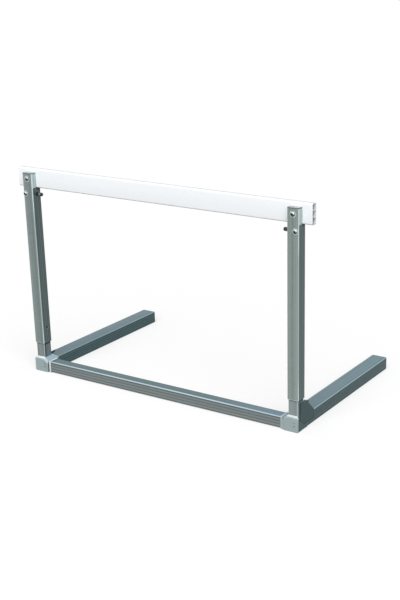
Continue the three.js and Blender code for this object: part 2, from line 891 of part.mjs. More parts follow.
// Leg tube, open at the front outer corner for the gusset, with its outer wall
// running on beside the casting
function floorLeg() {
  const places = spread(legGrooveCount, legGroovePitch, legHeight / 2);
  const section = hollow(legOutline({ left: places, right: places }), [legInside(0)]);
  const wallInner = tubeHalf - legWall;
  const edge = gussetBottom - legClearance;
  const slope = (gussetToeHeight - gussetBottom) / (gussetToe - gussetFront);
  const toeDrop = legClearance * Math.hypot(1, slope);
  const toeHeight = gussetBottom + (gussetToe - legToeLength) * slope - toeDrop;
  const toe = polygon([
    [spigotPlay - castingFront, 0],
    [castingBack + overrun, 0],
    [castingBack + overrun, edge],
    [legToeLength + (toeHeight - edge) / slope, edge],
    [legToeLength, toeHeight],
    [spigotPlay - castingFront, toeHeight],
  ]);
  const rear = gussetRear + legClearance;
  const side = polygon([
    [castingBack - overrun, edge],
    [rear, edge],
    [rear, legHeight + overrun],
    [castingBack - overrun, legHeight + overrun],
  ]);
  const opening = polygon([
    [-legOpening[0][0], castingBack - overrun],
    [tubeHalf + overrun, castingBack - overrun],
    [tubeHalf + overrun, rear],
    ...legOpening.map(([x, y]) => [-x, y]).reverse(),
  ]);
  return prism("y", section, castingBack, legRear)
    .subtract(prism("x", side, wallInner - legClearance, tubeHalf + overrun))
    .subtract(prism("z", opening, legHeight - legWall - legCornerInside, legHeight + overrun))
    .add(prism("x", toe, wallInner, tubeHalf));
}

function legEndCap() {
  const across = [legWall + spigotPlay - legInner, tubeHalf - legWall - spigotPlay];
  const upright = [legWall + spigotPlay, legHeight - legWall - spigotPlay];
  const inset = ([from, to]) => [from + legCapWall, to - legCapWall];
  const plug = hollow(
    outline(across, upright, legCornerInside),
    [outline(inset(across), inset(upright), legCornerInside)],
  );
  const plate = outline(
    [legCapRim - legInner, tubeHalf - legCapRim],
    [legCapRim, legHeight - legCapRim],
    legCorner,
  );
  return prism("y", plug, legRear - legCapPlug, legRear)
    .add(prism("y", plate, legRear, legRear + legCapThickness));
}

function counterweight() {
  const middle = tubeHalf - legWidth / 2;
  const bottom = legWall + weightSeat;
  const section = outline(
    [middle - weightWidth / 2, middle + weightWidth / 2],
    [bottom, bottom + weightHeight],
    weightCorner,
  );
  return prism("y", section, weightFront, weightFront + weightLength);
}

const finish = (color, roughness, metalness) => () => (
  new THREE.MeshStandardMaterial({ color, roughness, metalness })
);
const satinAluminium = finish("#a3b0b2", 0.42, 0.85);
const brushedPost = finish("#98a3a5", 0.4, 0.85);
const castAluminium = finish("#a9b5b8", 0.6, 0.6);
const whitePlastic = finish("#f6f8f8", 0.45, 0);
const blackPlastic = finish("#151718", 0.5, 0);
const greyPlastic = finish("#9aa5a7", 0.5, 0.1);
const brightSteel = finish("#c4c9cc", 0.25, 1);
const darkSteel = finish("#4c5052", 0.5, 0.8);
const knobPlastic = finish("#4f5c58", 0.5, 0.2);

const group = new THREE.Group();
group.position.y = (overallFront - overallRear) / 2;

function addMesh(parent, name, solid, material, mirror = false) {
  const mesh = new THREE.Mesh(toGeometry(solid, mirror), material());
  mesh.name = name;
  parent.add(mesh);
}

const pairedPieces = [
  ["corner_casting", cornerCasting, castAluminium],
  ["corner_front_cover", frontCover, castAluminium],
  ["inner_post", innerPost, brushedPost],
  ["floor_leg", floorLeg, satinAluminium],
  ["leg_end_cap", legEndCap, blackPlastic],
  ["counterweight", counterweight, darkSteel],
  ["upright_tube", uprightTube, satinAluminium],
  ["tongue_cap", tongueCap, greyPlastic],
  ["ledge_pad", ledgePad, blackPlastic],
  ["bar_screw", barScrew, brightSteel],
  ["bar_screw_nut", barNut, brightSteel],
  ["guide_screw", guideScrew, brightSteel],
  ["guide_washer", guideWasher, brightSteel],
  ["latch_guide_block", guideBlock, blackPlastic],
  ["latch_hanger", latchHanger, blackPlastic],
  ["latch_rod", latchRod, darkSteel],
  ["latch_bolt", latchBolt, brightSteel],
  ["knob_stem", knobStem, brightSteel],
  ["knob_bush", knobBush, brightSteel],
  ["knob_grip", knobGrip, knobPlastic],
  ["knob_end_cap", knobCap, blackPlastic],
];

for (const [word, side] of [["left", -1], ["right", 1]]) {
  const upright = new THREE.Group();
  upright.position.x = side * uprightX;
  group.add(upright);
  const mirror = side < 0;
  for (const [name, make, material] of pairedPieces) {
    addMesh(upright, `${word}_${name}`, make(side), material, mirror);
  }
  coverScrewHeights.forEach((height, i) => {
    const name = `${word}_cover_screw_${i + 1}`;
    addMesh(upright, name, coverScrew(side, height), darkSteel, mirror);
  });
}

addMesh(group, "crossbar", crossbar(), whitePlastic);
addMesh(group, "front_floor_beam", frontBeam(), satinAluminium);

export default group;
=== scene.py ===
# %% [markdown]
# # A track hurdle in Blender
#
# The shapes of this hurdle come finished from a CAD model: every tube, screw and casting is
# its own mesh in metres. What is left for Blender is the look: soft edges, metal, plastic
# and white paint that hold up near and far, and the light and camera of a catalogue photo.
#
# The size of the object is kept from the start, because the finished look has to have the
# same one.

# %% Load the hurdle
import json
import math
from collections import namedtuple

import bpy
from mathutils import Matrix, Vector


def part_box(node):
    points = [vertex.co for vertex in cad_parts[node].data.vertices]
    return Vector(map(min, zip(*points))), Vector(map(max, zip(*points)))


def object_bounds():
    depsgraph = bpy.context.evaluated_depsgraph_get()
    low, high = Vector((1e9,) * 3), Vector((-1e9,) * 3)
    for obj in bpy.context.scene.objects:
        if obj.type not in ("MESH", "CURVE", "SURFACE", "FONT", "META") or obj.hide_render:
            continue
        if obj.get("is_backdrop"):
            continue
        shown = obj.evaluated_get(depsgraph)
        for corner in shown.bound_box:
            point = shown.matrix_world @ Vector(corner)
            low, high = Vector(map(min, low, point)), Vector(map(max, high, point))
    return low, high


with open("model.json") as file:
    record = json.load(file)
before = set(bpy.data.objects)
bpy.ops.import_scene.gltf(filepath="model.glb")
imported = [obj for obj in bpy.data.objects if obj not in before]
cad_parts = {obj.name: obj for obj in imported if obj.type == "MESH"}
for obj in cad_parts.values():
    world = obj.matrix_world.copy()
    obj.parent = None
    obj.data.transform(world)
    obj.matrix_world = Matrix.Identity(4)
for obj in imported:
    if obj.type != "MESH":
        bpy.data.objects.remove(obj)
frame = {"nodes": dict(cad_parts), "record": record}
size_at_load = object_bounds()
low, high = size_at_load
print("size in mm:", [round(1000 * (b - a)) for a, b in zip(low, high)])

# %% [markdown]
# ## The camera
#
# The camera stands to the right of the hurdle, at the eye level of a grown person, and
# looks down to the left. Its place and turns were solved from corners measured in the
# photo. A turn about the vertical, then the tilt, then a slight roll about the line of
# sight, is how a photographer would describe it, so the matrix is built in that order. A
# Blender camera looks straight down until it is turned up by 90 degrees. The shift slides
# the picture on the sensor, because the hurdle isn't in its middle.

# %% Camera
CAMERA_PLACE = (2.23175, -3.25414, 1.54353)
CAMERA_YAW = 31.958
CAMERA_LEVEL = 90
CAMERA_TILT = -19.281
CAMERA_ROLL = -0.632
CAMERA_LENS = 67.77
SENSOR_WIDTH = 36
CAMERA_SHIFT = (-0.0933, 0.0456)

camera = bpy.data.objects.new("camera", bpy.data.cameras.new("camera"))
bpy.context.collection.objects.link(camera)
camera.matrix_world = (
    Matrix.Translation(CAMERA_PLACE)
    @ Matrix.Rotation(math.radians(CAMERA_YAW), 4, "Z")
    @ Matrix.Rotation(math.radians(CAMERA_LEVEL + CAMERA_TILT), 4, "X")
    @ Matrix.Rotation(math.radians(CAMERA_ROLL), 4, "Z")
)
camera.data.lens = CAMERA_LENS
camera.data.sensor_width = SENSOR_WIDTH
camera.data.shift_x, camera.data.shift_y = CAMERA_SHIFT
bpy.context.scene.camera = camera
distance = (Vector(CAMERA_PLACE) - (low + high) / 2).length
print(f"camera {distance:.2f} m from the middle of the hurdle, lens {CAMERA_LENS} mm")

# %% [markdown]
# ## Small tools for node trees
#
# Shaders are built from many small nodes, and wiring each by hand hides the idea. `feed`
# gives one input its value: a socket is linked, anything else is set. `add` makes a node
# and feeds its inputs. `effect` makes a node group with named inputs and outputs, so that
# one surface effect serves several materials, and `use` puts such a group to work.

# %% Node helpers
def feed(tree, socket, value):
    if isinstance(value, bpy.types.NodeSocket):
        tree.links.new(value, socket)
    else:
        socket.default_value = value


def add(tree, kind, inputs=None, **settings):
    node = tree.nodes.new(kind)
    for name, value in settings.items():
        setattr(node, name, value)
    for key, value in (inputs or {}).items():
        feed(tree, node.inputs[key], value)
    return node


def effect(name, inputs, outputs):
    tree = bpy.data.node_groups.new(name, "ShaderNodeTree")
    for label, kind, value in inputs:
        socket = tree.interface.new_socket(label, in_out="INPUT", socket_type=kind)
        socket.default_value = value
    for label, kind in outputs:
        tree.interface.new_socket(label, in_out="OUTPUT", socket_type=kind)
    given = tree.nodes.new("NodeGroupInput").outputs
    wanted = tree.nodes.new("NodeGroupOutput").inputs
    return tree, given, wanted


def use(tree, name, inputs=None):
    group = bpy.data.node_groups[name]
    return add(tree, "ShaderNodeGroup", inputs, node_tree=group).outputs


print("helpers: feed, add, effect, use")

# %% [markdown]
# ## Masks and colours
#
# Most effects are a mask, a number from 0 to 1 over the surface, that blends one colour
# into another. `remap` turns any value into a mask with soft ends, `product` combines
# masks, and `between` marks a stripe. Places are read in object coordinates: these are
# metres here, measured in the frame of the whole hurdle at rest, and they stay with a
# piece when it slides.

# %% Mask and colour helpers
def maths(tree, operation, a, b=0.0):
    return add(tree, "ShaderNodeMath", {0: a, 1: b}, operation=operation).outputs[0]


def product(tree, first, *others):
    for other in others:
        first = maths(tree, "MULTIPLY", first, other)
    return first


def remap(tree, value, start, end, new_start=0.0, new_end=1.0):
    ends = {"From Min": start, "From Max": end, "To Min": new_start, "To Max": new_end}
    inputs = {"Value": value, **ends}
    node = add(tree, "ShaderNodeMapRange", inputs, interpolation_type="SMOOTHSTEP")
    return node.outputs["Result"]


def between(tree, value, start, end, soft):
    risen = remap(tree, value, start, start + soft)
    return product(tree, risen, remap(tree, value, end - soft, end, 1.0, 0.0))


def blend_colours(tree, share, first, second):
    node = add(tree, "ShaderNodeMix", {"Factor": share}, data_type="RGBA", clamp_factor=True)
    colour_inputs = [socket for socket in node.inputs if socket.type == "RGBA"]
    for socket, value in zip(colour_inputs, (first, second)):
        linked = isinstance(value, bpy.types.NodeSocket)
        feed(tree, socket, value if linked else (*value, 1))
    return next(socket for socket in node.outputs if socket.type == "RGBA")


def shade_colour(tree, colour, factor):
    scaled = add(
        tree, "ShaderNodeVectorMath", {0: colour, "Scale": factor}, operation="SCALE"
    )
    return scaled.outputs[0]


def object_place(tree):
    return add(tree, "ShaderNodeTexCoord").outputs["Object"]


def place_along(tree, axis):
    return add(tree, "ShaderNodeSeparateXYZ", {0: object_place(tree)}).outputs[axis]


def noise(tree, place, scale, detail=2.0, roughness=0.5, distortion=0.0, seed=None):
    inputs = {"Vector": place, "Scale": scale, "Detail": detail}
    inputs.update({"Roughness": roughness, "Distortion": distortion})
    if seed is None:
        return add(tree, "ShaderNodeTexNoise", inputs).outputs["Fac"]
    inputs["W"] = seed
    return add(tree, "ShaderNodeTexNoise", inputs, noise_dimensions="4D").outputs["Fac"]


print("helpers for masks: maths, product, remap, between, object_place, place_along")
print("helpers for looks: blend_colours, shade_colour, noise")

# %% [markdown]
# ## Drawn grain
#
# Aluminium tube is pushed hot through a steel die, and the die leaves fine straight lines
# along the whole length. Stretching a noise far along the tube and hardly across it gives
# such lines without a drawn texture. Two sizes of it are handed on: broad streaks for
# colour and roughness, and fine lines for the bump.

# %% Effect: drawn grain
STREAK_SCALE = 0.35
LINE_SCALE = 3.0

tree, given, wanted = effect(
    "drawn_grain",
    [("Lines Per Metre", "NodeSocketVector", (300, 300, 2)), ("Seed", "NodeSocketFloat", 0.0)],
    [("Streaks", "NodeSocketFloat"), ("Fine Lines", "NodeSocketFloat")],
)
stretched = add(
    tree, "ShaderNodeVectorMath", {0: object_place(tree), 1: given[0]}, operation="MULTIPLY"
).outputs[0]
streaks = noise(tree, stretched, STREAK_SCALE, detail=3.0, roughness=0.6, seed=given[1])
fine_lines = noise(tree, stretched, LINE_SCALE, seed=given[1])
tree.links.new(streaks, wanted[0])
tree.links.new(fine_lines, wanted[1])
print("drawn_grain:", [s.name for s in wanted if s.name])

# %% [markdown]
# ## Cast skin
#
# A sand or die casting has a matte skin: close grain like orange peel, with a few pits
# where gas was caught. A noise gives the grain and the small cells of a Voronoi texture,
# cut off low, give the pits.

# %% Effect: cast skin
PITS_PER_GRAIN = 0.35
PIT_EDGE = (0.05, 0.16)

tree, given, wanted = effect(
    "cast_skin",
    [("Grains Per Metre", "NodeSocketFloat", 700.0)],
    [("Grain", "NodeSocketFloat"), ("Pits", "NodeSocketFloat")],
)
place = object_place(tree)
pit_scale = product(tree, given[0], PITS_PER_GRAIN)
cells = add(tree, "ShaderNodeTexVoronoi", {"Vector": place, "Scale": pit_scale})
tree.links.new(noise(tree, place, given[0], detail=3.0), wanted[0])
tree.links.new(remap(tree, cells.outputs["Distance"], *PIT_EDGE, 1.0, 0.0), wanted[1])
print("cast_skin:", [s.name for s in wanted if s.name])

# %% [markdown]
# ## Which way a face looks
#
# Sides, tops and the rounded corners between them each get their own tone, which paints the
# shade and light that fall differently on them. The parts of the normal tell them apart.
# On a flat face one part is almost 1; where the largest part is clearly less, the surface
# is turning a corner.

# %% Effect: faces
SIDE_RANGE = (0.6, 0.95)
TOP_RANGE = (0.4, 0.9)
CORNER_RANGE = (0.0, 0.16)

tree, given, wanted = effect(
    "faces",
    [("Corner Start", "NodeSocketFloat", 0.985)],
    [("Side", "NodeSocketFloat"), ("Top", "NodeSocketFloat"), ("Corner", "NodeSocketFloat")],
)
normal = add(tree, "ShaderNodeNewGeometry").outputs["Normal"]
size = add(tree, "ShaderNodeVectorMath", {0: normal}, operation="ABSOLUTE").outputs[0]
parts = add(tree, "ShaderNodeSeparateXYZ", {0: size}).outputs
up = add(tree, "ShaderNodeSeparateXYZ", {0: normal}).outputs["Z"]
largest = maths(tree, "MAXIMUM", maths(tree, "MAXIMUM", parts["X"], parts["Y"]), parts["Z"])
tree.links.new(remap(tree, parts["X"], *SIDE_RANGE), wanted[0])
tree.links.new(remap(tree, up, *TOP_RANGE), wanted[1])
turned = maths(tree, "SUBTRACT", given[0], largest)
tree.links.new(remap(tree, turned, *CORNER_RANGE), wanted[2])
print("faces:", [s.name for s in wanted if s.name])

# %% [markdown]
# ## Ribs
#
# The profiles are ribbed: shallow lands with narrow valleys between them. On the legs'
# sides and the beam's front the valleys are cut in the CAD, and this effect follows them at
# the same pitch, so that the valleys get painted shade and the lands painted light. On the
# sides of the uprights and posts the ribs are too shallow to cut, and this effect is all
# there is of them. `Across` is the place on the face in metres, measured over the ribs.

# %% Effect: ribs
VALLEY_RANGE = (0.22, 0.42)
LAND_ROUNDNESS = 3.0

tree, given, wanted = effect(
    "ribs",
    [
        ("Across", "NodeSocketFloat", 0.0),
        ("Pitch", "NodeSocketFloat", 0.007),
        ("First Valley", "NodeSocketFloat", 0.0),
    ],
    [("Valley", "NodeSocketFloat"), ("Land", "NodeSocketFloat")],
)
steps = maths(tree, "DIVIDE", maths(tree, "SUBTRACT", given[0], given[2]), given[1])
off_middle = maths(tree, "SUBTRACT", maths(tree, "FRACT", steps), 0.5)
from_land = maths(tree, "ABSOLUTE", off_middle)
fall = maths(tree, "POWER", product(tree, from_land, 2.0), LAND_ROUNDNESS)
# Valley marks where painted shade goes, and the lands outside it get painted light; Land only
# shapes the bump.
tree.links.new(remap(tree, from_land, *VALLEY_RANGE), wanted[0])
tree.links.new(maths(tree, "SUBTRACT", 1.0, fall), wanted[1])
print("ribs:", [s.name for s in wanted if s.name])

# %% [markdown]
# ## Edge lines
#
# Hurdles are stacked, dropped and carried, so their corners rub bright first. The Bevel
# node returns the normal as if edges were rounded: where it turns away from the true
# normal there is an edge. `Edge` is that line whole. `Mask` is the same line broken up by a
# noise, because wear is never even.

# %% Effect: edge lines
# On the castings these lines also carry painted highlight and a painted shadow outline.
EDGE_TURN = (0.97, 0.8)
BREAK_RANGE = (0.42, 0.62)

tree, given, wanted = effect(
    "edge_lines",
    [("Width", "NodeSocketFloat", 0.001), ("Breaks Per Metre", "NodeSocketFloat", 60.0)],
    [("Mask", "NodeSocketFloat"), ("Edge", "NodeSocketFloat")],
)
rounded = add(tree, "ShaderNodeBevel", {"Radius": given[0]}, samples=4).outputs["Normal"]
true_normal = add(tree, "ShaderNodeNewGeometry").outputs["Normal"]
agree = add(
    tree, "ShaderNodeVectorMath", {0: rounded, 1: true_normal}, operation="DOT_PRODUCT"
)
edge = remap(tree, agree.outputs["Value"], *EDGE_TURN)
breaks = noise(tree, object_place(tree), given[1], detail=4.0)
tree.links.new(product(tree, edge, remap(tree, breaks, *BREAK_RANGE)), wanted[0])
tree.links.new(edge, wanted[1])
print("edge_lines:", [s.name for s in wanted if s.name])

# %% [markdown]
# ## Scuffs
#
# Fine scratches run in all directions over anything that is stacked. A strongly distorted
# noise has long thin contour lines where it crosses its middle value, and these pass for
# scratches; a second, slow noise keeps them to patches.

# %% Effect: scuffs
SCRATCH_WIDTH = 0.012
SCRATCH_BENDS = 2.5
PATCHES_PER_METRE = 9.0
PATCH_RANGE = (0.48, 0.62)

tree, given, wanted = effect(
    "scuffs",
    [("Scratches Per Metre", "NodeSocketFloat", 40.0), ("Amount", "NodeSocketFloat", 0.5)],
    [("Mask", "NodeSocketFloat")],
)
place = object_place(tree)
lines = noise(tree, place, given[0], distortion=SCRATCH_BENDS)
off_line = maths(tree, "ABSOLUTE", maths(tree, "SUBTRACT", lines, 0.5))
thin = remap(tree, off_line, 0.0, SCRATCH_WIDTH, 1.0, 0.0)
patch = remap(tree, noise(tree, place, PATCHES_PER_METRE), *PATCH_RANGE)
tree.links.new(product(tree, thin, patch, given[1]), wanted[0])
print("scuffs:", [s.name for s in wanted if s.name])

# %% [markdown]
# ## Painted shade in corners
#
# Sockets, slots and seams are darkened with painted shade. The ambient occlusion node tells
# how closed in a place is.

# %% Effect: occlusion shade
tree, given, wanted = effect(
    "occlusion_shade",
    [
        ("Distance", "NodeSocketFloat", 0.003),
        ("Closed", "NodeSocketFloat", 0.2),
        ("Open", "NodeSocketFloat", 0.6),
    ],
    [("Mask", "NodeSocketFloat")],
)
# The mask is painted shade: it darkens what the ambient occlusion finds closed in.
occlusion = add(tree, "ShaderNodeAmbientOcclusion", {"Distance": given[0]}, samples=8)
open_sky = occlusion.outputs["AO"]
tree.links.new(remap(tree, open_sky, given[1], given[2], 1.0, 0.0), wanted[0])
print("grime:", [s.name for s in wanted if s.name])

# %% [markdown]
# ## Settled dust
#
# Dust from the track lies on faces that look up, most of all near the ground. The world
# normal's upward part picks the faces, and it thins with the height above the floor.

# %% Effect: settled dust
DUSTY_FACES = (0.3, 0.95)
FLOOR_FADE = (0.2, 1.0, 1.0, 0.25)
DRIFTS_PER_METRE = 14.0
DRIFT_RANGE = (0.35, 0.75)

tree, given, wanted = effect(
    "settled_dust",
    [("Reach", "NodeSocketFloat", 0.25)],
    [("Mask", "NodeSocketFloat")],
)
geometry = add(tree, "ShaderNodeNewGeometry").outputs
up = add(tree, "ShaderNodeSeparateXYZ", {0: geometry["Normal"]}).outputs["Z"]
height = add(tree, "ShaderNodeSeparateXYZ", {0: geometry["Position"]}).outputs["Z"]
facing = remap(tree, up, *DUSTY_FACES)
near_floor = remap(tree, maths(tree, "DIVIDE", height, given[0]), *FLOOR_FADE)
drift = noise(tree, object_place(tree), DRIFTS_PER_METRE, detail=5.0, roughness=0.65)
dusty = product(tree, facing, near_floor, remap(tree, drift, *DRIFT_RANGE))
tree.links.new(dusty, wanted[0])
print("settled_dust:", [s.name for s in wanted if s.name])

# %% [markdown]
# ## Tools for materials
#
# Every material is a Principled surface that masks and colours are fed into. Three colours
# are set here for several of them: bare worn metal, dust, and the painted shade of corners.
# All colours in this script are linear values, judged against the photo.

# %% Material helpers
WORN_METAL = (0.52, 0.6, 0.62)
DUST = (0.40, 0.42, 0.42)
# Near black, for painted shade.
PAINTED_SHADE = (0.012, 0.018, 0.02)


def new_material(name):
    material = bpy.data.materials.new(name)
    material.use_nodes = True
    tree = material.node_tree
    return material, tree, tree.nodes["Principled BSDF"]


def connect(tree, surface, **inputs):
    for label, value in inputs.items():
        feed(tree, surface.inputs[label.replace("_", " ")], value)


def bump(tree, height, distance, strength=1.0, under=None):
    inputs = {"Height": height, "Distance": distance, "Strength": strength}
    if under is not None:
        inputs["Normal"] = under
    return add(tree, "ShaderNodeBump", inputs).outputs["Normal"]


print("helpers: new_material, connect, bump")

# %% [markdown]
# ## Marks that follow a place
#
# Some marks belong to a place and not to a kind of face: a cut end that stays bright, the
# painted shade below it, a lighter ring round a screw head. Other bands are painted light,
# painted reflection and painted highlight. A `Band` is a stripe across one kind of face,
# along one axis, from start to end in metres with soft ends, in a colour that covers the
# base by its share. `ring_mask` marks a ring around a screw, the same on the left and the
# right. `Ribs` says where the ribs of a profile lie and how strong they are.

# %% Bands, ribs and rings
Band = namedtuple("Band", "face axis start end soft colour share")
Ribs = namedtuple("Ribs", "axis pitch first face depth relief")
RING_SOFTNESS = 0.001


def add_bands(tree, base, face_masks, bands):
    for band in bands:
        stripe = between(tree, place_along(tree, band.axis), band.start, band.end, band.soft)
        share = product(tree, face_masks[band.face], band.share)
        base = blend_colours(tree, product(tree, stripe, share), base, band.colour)
    return base


def ring_mask(tree, middle, inner, outer):
    outwards = maths(tree, "ABSOLUTE", place_along(tree, "X"))
    beside = maths(tree, "SUBTRACT", outwards, middle.x)
    above = maths(tree, "SUBTRACT", place_along(tree, "Z"), middle.z)
    squares = maths(tree, "ADD", product(tree, beside, beside), product(tree, above, above))
    return between(tree, maths(tree, "SQRT", squares), inner, outer, RING_SOFTNESS)


print("band:", Band._fields, "ribs:", Ribs._fields)

# %% [markdown]
# ## Where the tubes begin and end
#
# The bands follow the pieces, so their places come from the CAD boxes: where the upright's
# tube ends over the post, where its tongue begins at the ledge, how high beam and leg are,
# and how wide the head of the bar's screw is.

# %% Places on the tubes
tube_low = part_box("right_upright_tube")[0]
upright_front = tube_low.y
tube_end = tube_low.z
tongue_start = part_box("right_ledge_pad")[1].z
beam_low, beam_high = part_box("front_floor_beam")
leg_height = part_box("right_floor_leg")[1].z
screw_low, screw_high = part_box("right_bar_screw")
screw_middle = (screw_low + screw_high) / 2
screw_head = (screw_high.x - screw_low.x) / 2
print(f"tube from {tube_end:.3f} m, tongue from {tongue_start:.3f} m, leg {leg_height:.4f} m")

# %% [markdown]
# ## Extruded aluminium: a tone for every face
#
# Four kinds of tube share one recipe, which is built up in three steps. The first gives
# front, sides, tops and rounded corners their own tones: painted shade makes the ribbed
# sides the darkest, painted light lifts the tops, and a painted highlight makes the corners
# the lightest, brightest of all near both ends of an upright. Bands and a lighter ring round
# a screw head belong to the flat faces, so the corners go on last.

# %% Recipe step: tones of a tube
BRIGHT_FADE_LOW = 0.05
BRIGHT_FADE_HIGH = 0.03
LIGHT_RING = (-0.001, 0.0035)


def mask_faces(tree, faces):
    side_or_top = maths(tree, "MAXIMUM", faces["Side"], faces["Top"])
    front = maths(tree, "SUBTRACT", 1.0, side_or_top)
    return {"front": front, "side": faces["Side"], "top": faces["Top"]}


def corner_colour(tree, tones):
    if "bright_corner" not in tones:
        return tones["corner"]
    low_part, high_part = tones["bright_parts"]
    # Painted highlight, brightest near both ends of an upright.
    height = place_along(tree, "Z")
    low_ends = (low_part - BRIGHT_FADE_LOW, low_part + BRIGHT_FADE_LOW)
    high_ends = (high_part - BRIGHT_FADE_HIGH, high_part + BRIGHT_FADE_HIGH)
    below = remap(tree, height, *low_ends, 1.0, 0.0)
    above = remap(tree, height, *high_ends)
    bright_part = maths(tree, "MAXIMUM", below, above)
    return blend_colours(tree, bright_part, tones["corner"], tones["bright_corner"])


def tube_tones(tree, faces, face_masks, tones, bands, screw):
    # Painted shade on the sides and painted light on the tops.
    base = blend_colours(tree, faces["Side"], tones["front"], tones["side"])
    base = blend_colours(tree, faces["Top"], base, tones["top"])
    base = add_bands(tree, base, face_masks, bands)
    if screw:
        inner, outer = (screw_head + reach for reach in LIGHT_RING)
        marked = product(tree, ring_mask(tree, screw, inner, outer), face_masks["front"])
        base = blend_colours(tree, marked, base, tones["bright_corner"])
    # The corner tone is a painted highlight.
    return blend_colours(tree, faces["Corner"], base, corner_colour(tree, tones))


head_mm, ring_mm = 1000 * screw_head, 1000 * LIGHT_RING[1]
print(f"a screw head of {head_mm:.1f} mm radius lightens a ring {ring_mm:.1f} mm past its rim")

# %% [markdown]
# ## Extruded aluminium: wear and painted shade
#
# The second step ages the tone and adds painted shade. Edges and scratches show bare metal,
# a little dust settles and painted shade fills the corners. Wear is kept off the ribbed
# faces, where it would fill the valleys with light again.

# %% Recipe step: wear and painted shade of a tube
TUBE_EDGE = {"Width": 0.0012, "Breaks Per Metre": 35.0}
TUBE_SCUFFS = {"Scratches Per Metre": 26.0, "Amount": 0.02}
TUBE_OCCLUSION_SHADE = {"Closed": 0.3, "Open": 0.85}
WEAR_ON_CORNERS, WEAR_ON_RIBS = 0.6, 0.06
DUST_SHARE = 0.08
OCCLUSION_SHADE_SHARE = 0.8


def wear_and_shade_tube(tree, base, on_face, dust, shade_reach):
    worn = use(tree, "edge_lines", TUBE_EDGE)["Mask"]
    scratched = use(tree, "scuffs", TUBE_SCUFFS)["Mask"]
    occlusion_shade = use(tree, "occlusion_shade", {"Distance": shade_reach, **TUBE_OCCLUSION_SHADE})["Mask"]
    wear_share = remap(tree, on_face, 0.0, 1.0, WEAR_ON_CORNERS, WEAR_ON_RIBS)
    bright = maths(tree, "MAXIMUM", product(tree, worn, wear_share), scratched)
    base = blend_colours(tree, bright, base, WORN_METAL)
    base = blend_colours(tree, product(tree, dust, DUST_SHARE), base, DUST)
    # Painted shade where the tube is closed in.
    return blend_colours(tree, product(tree, occlusion_shade, OCCLUSION_SHADE_SHARE), base, PAINTED_SHADE)


print("wear covers", WEAR_ON_CORNERS, "of a corner and", WEAR_ON_RIBS, "of a ribbed face")

# %% [markdown]
# ## Extruded aluminium: the whole recipe
#
# The third step puts it together. Streaks change colour and roughness a little, the valleys
# of the ribs get painted shade while the lands get painted light, the lands and the fine
# lines go into the bump, and dust dulls what looks up.

# %% Recipe: extruded aluminium
STREAK_RANGE = (0.3, 0.7)
STREAK_TONES = (0.81, 1.19)
LIGHTER_LANDS = 3
TUBE_DUST = {"Reach": 0.3}
DUST_DULLS = 0.2
SATIN_RANGE = (0.25, 0.75)
SATIN_ROUGHNESS = (0.34, 0.5)
LAND_HEIGHT = 0.0003
LINE_HEIGHT, LINE_STRENGTH = 0.00006, 0.5


def extruded_aluminium(name, tones, lines, ribs, seed, shade_reach=0.006, bands=(), screw=None):
    material, tree, surface = new_material(name)
    faces = use(tree, "faces")
    face_masks = mask_faces(tree, faces)
    base = tube_tones(tree, faces, face_masks, tones, bands, screw)

    grain = use(tree, "drawn_grain", {"Lines Per Metre": lines, "Seed": seed})
    streaked = remap(tree, grain["Streaks"], *STREAK_RANGE, *STREAK_TONES)
    base = shade_colour(tree, base, streaked)
    across = {
        "Across": place_along(tree, ribs.axis), "Pitch": ribs.pitch, "First Valley": ribs.first
    }
    ribbed = use(tree, "ribs", across)
    flat = maths(tree, "SUBTRACT", 1.0, faces["Corner"])
    on_face = product(tree, face_masks[ribs.face], flat)
    valley = product(tree, ribbed["Valley"], on_face)
    # Painted shade in the rib valleys, painted light on the lands.
    rib_tones = (1.0 + ribs.depth / LIGHTER_LANDS, 1.0 - ribs.depth)
    base = shade_colour(tree, base, remap(tree, valley, 0.0, 1.0, *rib_tones))
    dust = use(tree, "settled_dust", TUBE_DUST)["Mask"]
    base = wear_and_shade_tube(tree, base, on_face, dust, shade_reach)

    rough = remap(tree, grain["Streaks"], *SATIN_RANGE, *SATIN_ROUGHNESS)
    rough = maths(tree, "ADD", rough, product(tree, dust, DUST_DULLS))
    swell = bump(tree, product(tree, ribbed["Land"], on_face), LAND_HEIGHT, ribs.relief)
    normal = bump(tree, grain["Fine Lines"], LINE_HEIGHT, LINE_STRENGTH, swell)
    connect(
        tree, surface, Base_Color=base, Roughness=rough, Metallic=0.25, Normal=normal,
        Specular_IOR_Level=0.2,
    )
    return material


print("streaks change the tone from", STREAK_TONES[0], "to", STREAK_TONES[1])

# %% [markdown]
# ## The tones of the tubes
#
# All four tubes are the same metal, but they differ in the photo: the uprights and posts
# are greenish grey, the legs darker and bluer, and the beam's front almost neutral.

# %% Tones of the tubes
# Side tones are painted shade, top tones painted light, corner tones painted highlight.
upright_tones = {
    "front": (0.2, 0.245, 0.24),
    "side": (0.1, 0.14, 0.14),
    "top": (0.3, 0.36, 0.36),
    "corner": (0.42, 0.49, 0.49),
    "bright_corner": (0.6, 0.69, 0.69),
    "bright_parts": (tube_end + 0.06, tongue_start - 0.09),
}
post_tones = {
    "front": (0.215, 0.245, 0.245),
    "side": (0.14, 0.175, 0.205),
    "top": (0.3, 0.36, 0.36),
    "corner": (0.5, 0.6, 0.6),
}
leg_tones = {
    "front": (0.12, 0.17, 0.18),
    "side": (0.06, 0.112, 0.122),
    "top": (0.115, 0.175, 0.2),
    "corner": (0.27, 0.36, 0.4),
}
beam_tones = {
    "front": (0.195, 0.22, 0.222),
    "side": (0.1, 0.14, 0.15),
    "top": (0.09, 0.14, 0.15),
    "corner": (0.38, 0.48, 0.53),
}
print("tones:", sorted(upright_tones))

